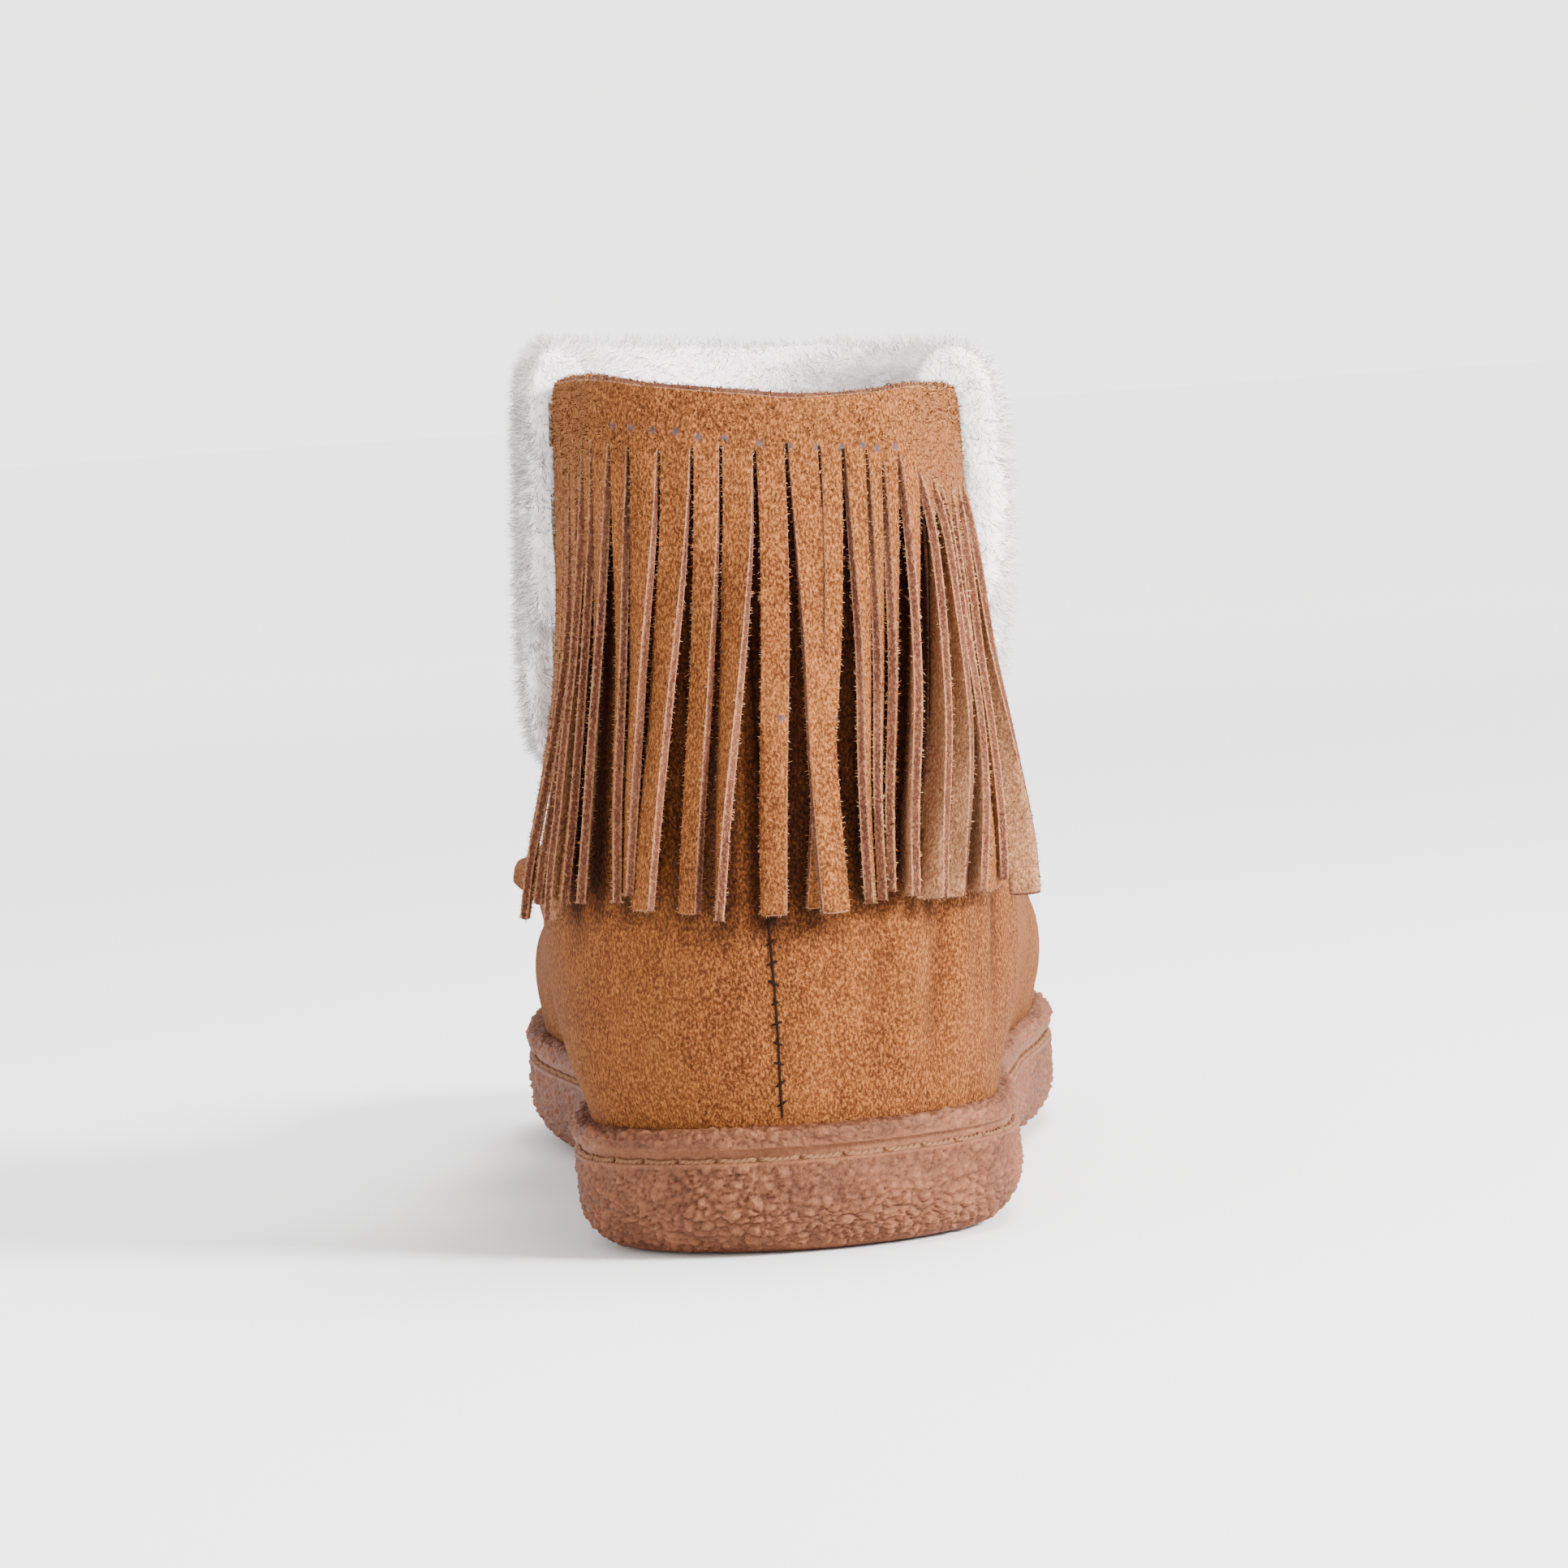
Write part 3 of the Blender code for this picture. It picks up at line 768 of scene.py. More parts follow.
    def dress(self, colour: Socket, normal: Optional[Socket], roughness: float, sheen: float = 0.0,
              tint: Sequence[float] = WHITE, specular: float = 0.3) -> bpy.types.Material:
        """Join colour and bump to the shader and set its plain values.

        Args:
            colour: The colour.
            normal: The bumped normal, if there is one.
            roughness: How dull the surface is.
            sheen: How much soft fibres glow at its rim.
            tint: Colour of that glow.
            specular: How strongly it shines.

        Returns:
            The finished material.
        """
        self.join(colour, self.shader.inputs["Base Color"])
        if normal is not None:
            self.join(normal, self.shader.inputs["Normal"])
        self.shader.inputs["Roughness"].default_value = roughness
        self.shader.inputs["Sheen Weight"].default_value = sheen
        self.shader.inputs["Sheen Roughness"].default_value = 0.5
        self.shader.inputs["Sheen Tint"].default_value = (*tint, 1)
        self.shader.inputs["Specular IOR Level"].default_value = specular
        return self.material


@dataclass(frozen=True)
class SuedeFinish:
    """Brushed suede: a mottled ground, brushed cloudy patches and a grainy nap of short fibres."""

    name: str
    light: tuple
    middle: tuple
    dark: tuple
    nap: float = 0.38 * MM
    relief: float = 0.32 * MM
    grainy: float = 0.78
    sheen: float = 0.06
    cloud: float = 15 * MM
    stroke: float = 4.5 * MM
    stroke_depth: float = 0.6 * MM
    prick_size: tuple = (1.35 * MM, 0.70 * MM)
    prick_strength: float = 0.75
    prick_colour: tuple = (0.055, 0.048, 0.060)

    def make(self, marks: Sequence[Vector] = (), shaded: bool = False,
             rim_highlight: Optional[tuple] = None) -> bpy.types.Material:
        """Build the material.

        Args:
            marks: Middles of small grey pricks in the suede.
            shaded: Whether the piece carries a "hidden" and a "fold" attribute. The first paints deep shade
                behind the fringe,
            the second paints shade into its creases.
            rim_highlight: Colour of the painted highlight along the rims that the "rim" attribute shows, if
                the piece carries one.

        Returns:
            The finished material.
        """
        n = Nodes(self.name)
        fibres = n.noise(self.nap, 3, 0.72, (1, 1, 0.6))
        clouds = n.noise(self.cloud, 2, 0.5, (1, 1, 0.7))
        brushed = n.noise(self.stroke, 3, 0.6, (1, 1, 0.6))
        ground = n.ramp(n.blend(clouds, 0.55, brushed, 0.45),
                        ((0.38, self.dark), (0.50, self.middle), (0.62, self.light)))
        shadow = tuple(0.30 * c for c in self.dark)
        glint = tuple(1.55 * c for c in self.light)
        speckle = n.ramp(fibres, ((0.38, shadow), (0.455, self.dark), (0.515, self.middle),
                                  (0.57, self.light), (0.64, glint)))
        colour = n.mix(self.grainy, ground, speckle)
        if shaded:
            # Painted shade: darker where the fringe panel lies close over the suede
            depth = n.ramp(n.attribute("hidden"), ((0.0, WHITE), (1.0, (0.20, 0.155, 0.14))))
            # Painted shade: darker in the creases, where the "fold" attribute is low
            crease_shade = n.ramp(n.attribute("fold"), ((0.10, (0.62, 0.57, 0.54)), (0.47, WHITE)))
            colour = n.shade(n.shade(colour, depth), crease_shade)
        # Painted highlight: lighter along the rims between the suede's faces and its cut sides
        if rim_highlight is not None:
            ragged = n.blend(n.attribute("rim"), 0.45, fibres, 0.8)
            colour = n.mix(n.ramp(ragged, ((0.54, BLACK), (0.86, WHITE))), colour, rim_highlight)
        for mark in marks:
            colour = self.prick(n, mark, fibres, colour)
        height = n.bump(fibres, self.relief, n.bump(brushed, self.stroke_depth))
        return n.dress(colour, height, 0.95, self.sheen, self.light, 0.12)

    def prick(self, n: Nodes, mark: Vector, fibres: Socket, colour: Socket) -> Socket:
        """Add one small ragged mark.

        Args:
            n: The material's nodes.
            mark: The mark's middle.
            fibres: Noise that makes its outline ragged.
            colour: The suede's colour.

        Returns:
            The colour with the mark in it.
        """
        away = n.add("ShaderNodeVectorMath", operation="DISTANCE")
        n.join(n.place, away.inputs[0])
        away.inputs[1].default_value = mark
        spot = n.add("ShaderNodeMapRange", interpolation_type="SMOOTHSTEP")
        spot.inputs["From Min"].default_value, spot.inputs["From Max"].default_value = self.prick_size
        spot.inputs["To Max"].default_value = self.prick_strength
        ragged = n.combine(fibres, 0.9 * MM, "MULTIPLY")
        n.join(n.combine(away.outputs["Value"], ragged, "ADD"), spot.inputs["Value"])
        return n.mix(spot.outputs["Result"], colour, self.prick_colour)


@dataclass(frozen=True)
class FuzzFinish:
    """Loose fibres, each a little lighter or darker than the next."""

    name: str
    root: tuple
    tip: tuple
    sheen: float = 0.3
    darkest: float = 0.86

    def make(self) -> bpy.types.Material:
        """Build the material.

        Returns:
            The finished material.
        """
        n = Nodes(self.name)
        length = n.mix(n.attribute("along"), self.root, self.tip)
        vary = n.ramp(n.attribute("fibre"), ((0.0, (self.darkest,) * 3), (1.0, WHITE)))
        return n.dress(n.shade(length, vary), None, 0.95, self.sheen, self.tip, 0.1)


@dataclass(frozen=True)
class FleeceFinish:
    """Skin and wool under the fibres."""

    name: str
    light: tuple
    dark: tuple
    curl: float = 3 * MM
    relief: float = 1.0 * MM

    def make(self) -> bpy.types.Material:
        """Build the material.

        Returns:
            The finished material.
        """
        n = Nodes(self.name)
        curls = n.noise(self.curl, 4, 0.65)
        colour = n.ramp(curls, ((0.3, self.dark), (0.62, self.light)))
        return n.dress(colour, n.bump(curls, self.relief), 1.0, 0.3, self.light, 0.1)


@dataclass(frozen=True)
class RubberFinish:
    """Crepe rubber: dull, a little blotchy, and with painted shade in the creases of its "crumb" attribute.
    """

    name: str
    light: tuple
    dark: tuple
    blotch: float = 8 * MM
    speck: float = 0.75 * MM
    relief: float = 0.40 * MM

    def make(self) -> bpy.types.Material:
        """Build the material.

        Returns:
            The finished material.
        """
        n = Nodes(self.name)
        fine = n.noise(self.speck, 3, 0.65)
        base = n.ramp(n.noise(self.blotch, 3, 0.6), ((0.38, self.dark), (0.62, self.light)))
        # Painted shade: darker in the creases between the lumps
        creases = n.ramp(n.attribute("crumb"), ((0.05, (0.22, 0.16, 0.13)), (0.40, (0.67, 0.63, 0.61)),
                                                (0.80, WHITE)))
        specks = n.ramp(fine, ((0.34, (0.72, 0.69, 0.67)), (0.58, WHITE)))
        colour = n.shade(n.shade(base, creases), specks)
        return n.dress(colour, n.bump(fine, self.relief), 0.68, 0.0, self.light, 0.24)


@dataclass(frozen=True)
class ThreadFinish:
    """Twisted sewing thread."""

    name: str
    colour: tuple
    sheen: float = 0.15
    specular: float = 0.25
    strand: float = 0.22 * MM
    relief: float = 0.08 * MM

    def make(self) -> bpy.types.Material:
        """Build the material.

        Returns:
            The finished material.
        """
        n = Nodes(self.name)
        strands = n.noise(self.strand, 2, 0.5)
        dark = tuple(0.6 * c for c in self.colour)
        colour = n.ramp(strands, ((0.35, dark), (0.6, self.colour)))
        return n.dress(colour, n.bump(strands, self.relief), 0.75, self.sheen, self.colour, self.specular)


UPPER_SUEDE = SuedeFinish("upper_suede", light=(0.212, 0.074, 0.0182), middle=(0.134, 0.0420, 0.0092),
                          dark=(0.076, 0.0210, 0.0044))
FRINGE_SUEDE = SuedeFinish("fringe_suede", light=(0.258, 0.093, 0.0255), middle=(0.168, 0.055, 0.0138),
                           dark=(0.096, 0.028, 0.0065))
CUT_SUEDE = SuedeFinish("fringe_cut_edge", light=(0.140, 0.053, 0.0285), middle=(0.092, 0.0305, 0.0155),
                        dark=(0.054, 0.0170, 0.0090), nap=0.34 * MM, relief=0.22 * MM, grainy=0.5)
# Painted highlight along the rims of the fringe's cut edges
RIM_HIGHLIGHT = (0.33, 0.155, 0.080)
FLESH_SUEDE = SuedeFinish("fringe_flesh_side", light=(0.370, 0.182, 0.092), middle=(0.285, 0.130, 0.062),
                          dark=(0.205, 0.087, 0.039), grainy=0.55)
FRINGE_FUZZ = FuzzFinish("fringe_fuzz", root=(0.34, 0.145, 0.060), tip=(0.60, 0.35, 0.185))
NAP_FUZZ = FuzzFinish("nap_fuzz", root=(0.20, 0.064, 0.017), tip=(0.42, 0.19, 0.070))
WHITE_PILE = FuzzFinish("white_pile", root=(0.964, 0.908, 0.900), tip=(0.988, 0.944, 0.940), sheen=0.2)
WHITE_SKIN = FleeceFinish("white_skin", light=(0.970, 0.935, 0.930), dark=(0.94, 0.895, 0.885))
PELT_EDGE = SuedeFinish("pelt_edge", light=(0.42, 0.27, 0.16), middle=(0.29, 0.17, 0.09),
                        dark=(0.17, 0.09, 0.045))
FOOTBED = FleeceFinish("footbed_fleece", light=(0.90, 0.85, 0.83), dark=(0.78, 0.72, 0.69))
CREPE = RubberFinish("crepe_rubber", light=(0.235, 0.088, 0.040), dark=(0.185, 0.064, 0.027))
SOLE_THREAD = ThreadFinish("sole_thread", (0.200, 0.088, 0.040))
SEAM_THREAD = ThreadFinish("seam_thread", (0.014, 0.006, 0.0035), sheen=0.0, specular=0.05)
TOE_THREAD = ThreadFinish("toe_thread", (0.15, 0.052, 0.015))


# Camera and studio


@dataclass
class PhotoCamera:
    """Camera at the photo's place behind the heel, a little above it and rolled."""

    across: float = -9.3 * MM
    back: float = 1238 * MM
    height: float = 150.5 * MM
    yaw: float = math.radians(0.52)
    pitch: float = math.radians(3.50)
    roll: float = math.radians(-3.95)
    focal_px: float = 9146.0
    sensor_mm: float = 36.0
    far: float = 20.0

    def axes(self) -> tuple[Vector, Vector, Vector]:
        """Directions of the camera.

        Returns:
            Its right, up and forward directions.
        """
        level = Vector((math.sin(self.yaw), math.cos(self.yaw), 0))
        forward = level * math.cos(self.pitch) - Vector((0, 0, math.sin(self.pitch)))
        right = Vector((level.y, -level.x, 0))
        up = right.cross(forward)
        turned = right * math.cos(self.roll) + up * math.sin(self.roll)
        return turned, up * math.cos(self.roll) - right * math.sin(self.roll), forward

    def eye(self) -> Vector:
        """Place of the camera."""
        return Vector((self.across, -self.back, self.height))

    def ray(self, column: float, row: float) -> Vector:
        """Direction from the camera through a pixel of the photo.

        Args:
            column: The pixel's column.
            row: Its row, counted from the top.

        Returns:
            The direction.
        """
        right, up, forward = self.axes()
        half = 0.5 * PHOTO_SIZE
        sideways, upwards = (column - half) / self.focal_px, (half - row) / self.focal_px
        return (forward + right * sideways + up * upwards).normalized()

    def build(self) -> None:
        """Make the camera and set it as the scene's."""
        data = bpy.data.cameras.new("photo_camera")
        data.sensor_width = self.sensor_mm
        data.lens = self.focal_px / PHOTO_SIZE * self.sensor_mm
        data.clip_end = self.far
        camera = bpy.data.objects.new("photo_camera", data)
        right, up, forward = self.axes()
        turn = Matrix((right, up, -forward)).transposed().to_4x4()
        camera.matrix_world = Matrix.Translation(self.eye()) @ turn
        bpy.context.scene.collection.objects.link(camera)
        bpy.context.scene.camera = camera


@dataclass(frozen=True)
class Lamp:
    """Soft square lamp that looks at the shoe's shaft."""

    name: str
    place: tuple
    size: float
    watts: float
    target: tuple = (0, 0, 0.07)

    def build(self) -> None:
        """Make the lamp and turn it to its target."""
        data = bpy.data.lights.new(self.name, "AREA")
        data.size = self.size
        data.energy = self.watts
        lamp = bpy.data.objects.new(self.name, data)
        aim = Vector(self.target) - Vector(self.place)
        lamp.matrix_world = Matrix.Translation(self.place) @ aim.to_track_quat("-Z", "Y").to_matrix().to_4x4()
        bpy.context.scene.collection.objects.link(lamp)


@dataclass
class Studio:
    """White floor, white surroundings and soft lamps. Far from the shoe the floor glows, to stay pale."""

    floor_size: float = 12.0
    floor_white: tuple = (0.96, 0.955, 0.955)
    far_white: tuple = (0.5, 0.5, 0.5)
    glow: float = 2.2
    glow_tint: tuple = (1.0, 0.985, 0.98)
    plain_radius: float = 0.35
    glow_radius: float = 2.4
    surroundings: float = 3.2
    horizon: tuple = (0.14, 1.0)
    sky: tuple = (0.45, 0.40)
    lamps: tuple = (Lamp("key_lamp", (1.20, -0.80, 0.80), size=0.45, watts=98.0),
                    Lamp("fill_lamp", (-1.05, -0.95, 0.75), size=0.9, watts=1.5),
                    Lamp("top_lamp", (0.35, 0.35, 1.5), size=0.8, watts=34.0))

    def build(self) -> None:
        """Make the floor, the surroundings and the lamps."""
        self.lay_floor()
        self.light_surroundings()
        for lamp in self.lamps:
            lamp.build()

    def lay_floor(self) -> None:
        """Plain white floor that begins to glow away from the shoe."""
        shell = bmesh.new()
        bmesh.ops.create_grid(shell, x_segments=1, y_segments=1, size=self.floor_size)
        floor = finish_shell(shell, "studio_floor")
        n = Nodes("studio_white")
        away = n.add("ShaderNodeVectorMath", operation="LENGTH")
        n.join(n.place, away.inputs[0])
        reach = n.add("ShaderNodeMapRange", interpolation_type="SMOOTHSTEP")
        reach.inputs["From Min"].default_value = self.plain_radius
        reach.inputs["From Max"].default_value = self.glow_radius
        n.join(away.outputs["Value"], reach.inputs["Value"])
        n.join(n.mix(reach.outputs["Result"], BLACK, self.glow_tint), n.shader.inputs["Emission Color"])
        n.shader.inputs["Emission Strength"].default_value = self.glow
        white = n.mix(reach.outputs["Result"], self.floor_white, self.far_white)
        floor.data.materials.append(n.dress(white, None, 0.9))

    def light_surroundings(self) -> None:
        """Surroundings that are bright at the horizon and dimmer overhead."""
        world = bpy.data.worlds.new("studio_world")
        world.use_nodes = True
        tree = world.node_tree
        light = tree.nodes["Background"]
        light.inputs["Strength"].default_value = self.surroundings
        kinds = ("TexCoord", "SeparateXYZ", "ValToRGB")
        place, parts, band = (tree.nodes.new(f"ShaderNode{kind}") for kind in kinds)
        tree.links.new(place.outputs["Generated"], parts.inputs["Vector"])
        tree.links.new(parts.outputs["Z"], band.inputs["Fac"])
        tree.links.new(band.outputs["Color"], light.inputs["Color"])
        for element, (height, tone) in zip(band.color_ramp.elements, (self.horizon, self.sky)):
            element.position = height
            element.color = (*(part * tone for part in self.glow_tint), 1)
        bpy.context.scene.world = world


# Sub-assemblies


@dataclass
class Upper:
    """Suede shell with its back seam, its soft creases and the stitched seam round the toe box."""

    seam_across: float = -2.3 * MM
    seam_ends: tuple = (22.5 * MM, 129 * MM)
    seam_sink: Swell = Swell(0, -0.45 * MM, 1.8 * MM)
    seam_puffs: tuple = (Swell(-4 * MM, 0.35 * MM, 3 * MM), Swell(4 * MM, 0.35 * MM, 3 * MM))
    stitch_pitch: float = 3.3 * MM
    stitch_length: float = 1.5 * MM
    thread: float = 0.21 * MM
    cord: float = 0.24 * MM
    toe_middle: float = 172 * MM
    toe_box: float = 46 * MM
    toe_pitch: float = 4.6 * MM
    toe_reach: float = 2.1
    toe_thread: float = 0.36 * MM
    toe_stitch: tuple = (2.2 * MM, 1.0 * MM)
    ridge_heights: tuple = (36 * MM, 72 * MM, 0.5 * MM)
    ridge_span: int = 6
    ridge_step: float = 2.5 * MM
    side_creases: tuple = (Swell(-9 * MM, -1.3 * MM, 2.8 * MM, lean=0.10),
                           Swell(1 * MM, 0.9 * MM, 3.0 * MM, lean=0.16),
                           Swell(11 * MM, -1.2 * MM, 3.4 * MM, lean=0.22),
                           Swell(-19 * MM, -0.8 * MM, 2.6 * MM, lean=0.05))
    heel_creases: tuple = (Swell(15 * MM, -0.7 * MM, 2.4 * MM, lean=0.10),
                           Swell(20 * MM, 0.9 * MM, 2.2 * MM, lean=0.10),
                           Swell(25 * MM, -1.3 * MM, 2.0 * MM, lean=0.10),
                           Swell(29.5 * MM, 1.1 * MM, 2.0 * MM, lean=0.10))
    instep_creases: tuple = (Swell(84 * MM, -0.9 * MM, 2.6 * MM, middle=96 * MM),
                             Swell(76 * MM, 0.7 * MM, 2.6 * MM, middle=104 * MM),
                             Swell(68 * MM, -0.9 * MM, 2.6 * MM, middle=112 * MM),
                             Swell(58 * MM, -0.6 * MM, 2.6 * MM, middle=124 * MM))
    gather: Swell = Swell(59.5 * MM, 2.6 * MM, 4.2 * MM)
    gather_zone: tuple = (53 * MM, 61 * MM)
    gather_length: float = 12 * MM
    soft_bumps: tuple = ((0.5 * MM, 26 * MM, 5), (0.22 * MM, 11 * MM, 6))
    sole_edge: tuple = (22 * MM, 30 * MM)
    fold_range: float = 3 * MM
    hidden_reach: tuple = (1.6 * MM, 4.6 * MM)
    tree: Optional[BVHTree] = None

    def build(self) -> None:
        """Make the shell and everything sewn into it."""
        self.tree = tree_of(self.make_shell().data)
        self.sew_back_seam()
        self.sew_toe_seam()

    def make_shell(self) -> Piece:
        """Fine copy of the upper with its creases pressed in.

        Returns:
            The shell.
        """
        piece = refined("upper", "suede_upper", 2, 40, 0.6)
        points, normals = coordinates(piece.data), vertex_normals(piece.data)
        outside = 1 - inner_share(tree_of(piece.data), points, normals)
        relief = self.creased(points) + self.gathered(points, outside)
        free = outside * ease(points[:, 2], *self.sole_edge)
        # The suede's material paints shade into the creases from this attribute
        store(piece.data, "fold", np.clip(0.5 + relief * free / self.fold_range, 0, 1))
        for height, cell, seed in self.soft_bumps:
            relief += height * grain(points, cell, seed)
        move_to(piece.data, points + normals * (relief * free)[:, None])
        # Painted shade: the suede is darkened where the fringe panel lies close over it
        cover = tree_of(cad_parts["fringe_panel"].data)
        away = np.array([cover.find_nearest(Vector(point), 0.01)[3] or 0.01 for point in points])
        store(piece.data, "hidden", 1 - ease(away, *self.hidden_reach))
        piece.data.materials.append(UPPER_SUEDE.make(shaded=True))
        piece.data.materials.append(WHITE_SKIN.make())
        choose_faces(piece.data, outside, 0.3)
        settle(piece, piece.data.materials[0], "upper_suede", "upper")
        return piece

    def creased(self, points: np.ndarray) -> np.ndarray:
        """How far the suede rises beside its seam and between its creases.

        Args:
            points: Points on the shell.

        Returns:
            The rise at each point, negative in a crease.
        """
        x, y, z = points.T
        beside = x - self.seam_across
        relief = sum(swell.rise(beside) for swell in (self.seam_sink, *self.seam_puffs)) * (y < 0)
        # Upright creases behind the ankle on the outer side, where the foot's side begins
        for crease in self.side_creases:
            relief += crease.rise(y - crease.lean * (z - 45 * MM)) * hill(z, 48 * MM, 17 * MM) * (x > 0)
        # Upright creases at the back of the heel, on its outer side
        back = hill(z, 44 * MM, 15 * MM) * (1 - ease(y, -8 * MM, 2 * MM))
        for crease in self.heel_creases:
            relief += crease.rise(x - crease.lean * (z - 44 * MM)) * back
        # Wavy lying creases where the instep meets the shaft
        wave = 2.2 * MM * np.sin(x / (9 * MM))
        for crease in self.instep_creases:
            relief += crease.rise(z - wave) * hill(y, crease.middle, 26 * MM)
        return relief

    def gathered(self, points: np.ndarray, outside: np.ndarray) -> np.ndarray:
        """Lump of gathered suede on the inner side, which shows past the fringe from behind.

        Args:
            points: Points on the shell.
            outside: Share of each that is on the outer face.

        Returns:
            The rise at each point.
        """
        x, y, z = points.T
        low, high = self.gather_zone
        zone = points[(z > low) & (z < high) & (outside > 0.5)]
        middle = zone[np.argmin(zone[:, 0])][1]
        log.info("gather of the suede at y = %.1f mm", middle / MM)
        return self.gather.rise(z) * hill(y, middle, self.gather_length) * (x < 0)

    def sew_back_seam(self) -> None:
        """Dark butt seam up the back of the heel, crossed by small stitches."""
        rng = np.random.default_rng(21)
        low, high = self.seam_ends
        line = []
        for height in np.arange(low, high, 1.6 * MM):
            hit = self.behind(self.seam_across + 0.12 * MM * math.sin(height / (5 * MM)), height)
            if hit is not None:
                line.append(hit[0] + hit[1] * 0.02 * MM)
        cord = Rod(self.cord, len(line)).bend("back_seam", np.array([[point[:] for point in line]]))
        settle(cord, SEAM_THREAD.make(), "upper_suede")
        crossings = []
        for height in np.arange(low + 2.4 * MM, high, self.stitch_pitch):
            half = 0.5 * self.stitch_length * (0.8 + 0.4 * rng.random())
            slant = rng.normal() * 0.3 * MM
            ends = []
            for share in (-1, -0.5, 0, 0.5, 1):
                hit = self.behind(self.seam_across + share * half, height + share * slant)
                if hit is not None:
                    ends.append((hit[0] + hit[1] * (0.30 * MM * (1 - share ** 2) - 0.05 * MM))[:])
            if len(ends) == 5:
                crossings.append(ends)
        stitches = Rod(self.thread, 5).bend("back_seam_stitches", np.array(crossings))
        settle(stitches, SEAM_THREAD.make(), "upper_suede")

    def behind(self, across: float, height: float) -> Optional[tuple[Vector, Vector]]:
        """Where a straight line from behind meets the heel.

        Args:
            across: Sideways place of the line.
            height: Its height.

        Returns:
            The point and the normal there, or None if the line misses.
        """
        place, normal, _, _ = self.tree.ray_cast(Vector((across, -0.3, height)), Vector((0, 1, 0)))
        return None if place is None else (place, normal)

    def ridge(self, angle: float, near: Optional[float]) -> Optional[tuple[Vector, Vector]]:
        """Top of the raised seam in one direction from the middle of the toe box.

        Args:
            angle: Direction in plan, 0 to the toe.
            near: Height of the ridge a stitch before, or None at the first.

        Returns:
            The point and its normal, or None where no ridge is found.
        """
        out = Vector((math.sin(angle), math.cos(angle), 0))
        core = Vector((0, self.toe_middle + min(0.0, 62 * MM * math.cos(angle)), 0))
        heights = np.arange(*self.ridge_heights)
        reach, hits = np.full(len(heights), np.nan), [None] * len(heights)
        for number, height in enumerate(heights):
            start = core + out * 0.2 + Vector((0, 0, float(height)))
            place, normal, _, _ = self.tree.ray_cast(start, -out, 0.2)
            if place is not None:
                reach[number] = (place - core).xy.length
                hits[number] = (place, normal)
        span = self.ridge_span
        swell = np.full(len(heights), -1.0)
        around = 0.5 * (reach[:-2 * span] + reach[2 * span:])
        swell[span:-span] = np.nan_to_num(reach[span:-span] - around, nan=-1.0)
        if near is not None:
            swell[np.abs(heights - near) > self.ridge_step] = -1.0
        best = int(np.argmax(swell))
        return hits[best] if swell[best] > (0.5 if near is None else 0.1) * MM else None

    def sew_toe_seam(self) -> None:
        """Whipped stitches over the raised seam round the toe box."""
        lines = []
        step = self.toe_pitch / self.toe_box
        for side in (-1, 1):
            near = None
            for number in range(int(self.toe_reach / step)):
                angle = side * (number + 0.5) * step
                found = self.ridge(angle, near)
                if found is None:
                    break
                place, normal = found
                near = place.z
                line = self.stitch_over(place, normal, Vector((math.cos(angle), -math.sin(angle), 0)))
                if len(line) == 6:
                    lines.append(line)
        log.info("toe seam: %d stitches", len(lines))
        stitches = Rod(self.toe_thread, 6).bend("toe_seam_stitches", np.array(lines))
        settle(stitches, TOE_THREAD.make(), "upper_suede")

    def stitch_over(self, place: Vector, normal: Vector, along: Vector) -> list:
        """Points of one stitch that crosses the ridge.

        Args:
            place: Top of the ridge.
            normal: The wall's normal there.
            along: Direction of the ridge.

        Returns:
            The points that were found on the wall, six if all of them were.
        """
        over = normal.cross(along).normalized()
        wide, slant = self.toe_stitch
        line = []
        for share in (-1, -0.6, -0.2, 0.2, 0.6, 1):
            start = place + over * (share * wide) + along * (share * slant) + normal * 6 * MM
            hit = self.tree.ray_cast(start, -normal, 0.02)[0]
            if hit is not None:
                line.append((hit + normal * (0.30 * MM * (1 - share ** 4) - 0.05 * MM))[:])
        return line


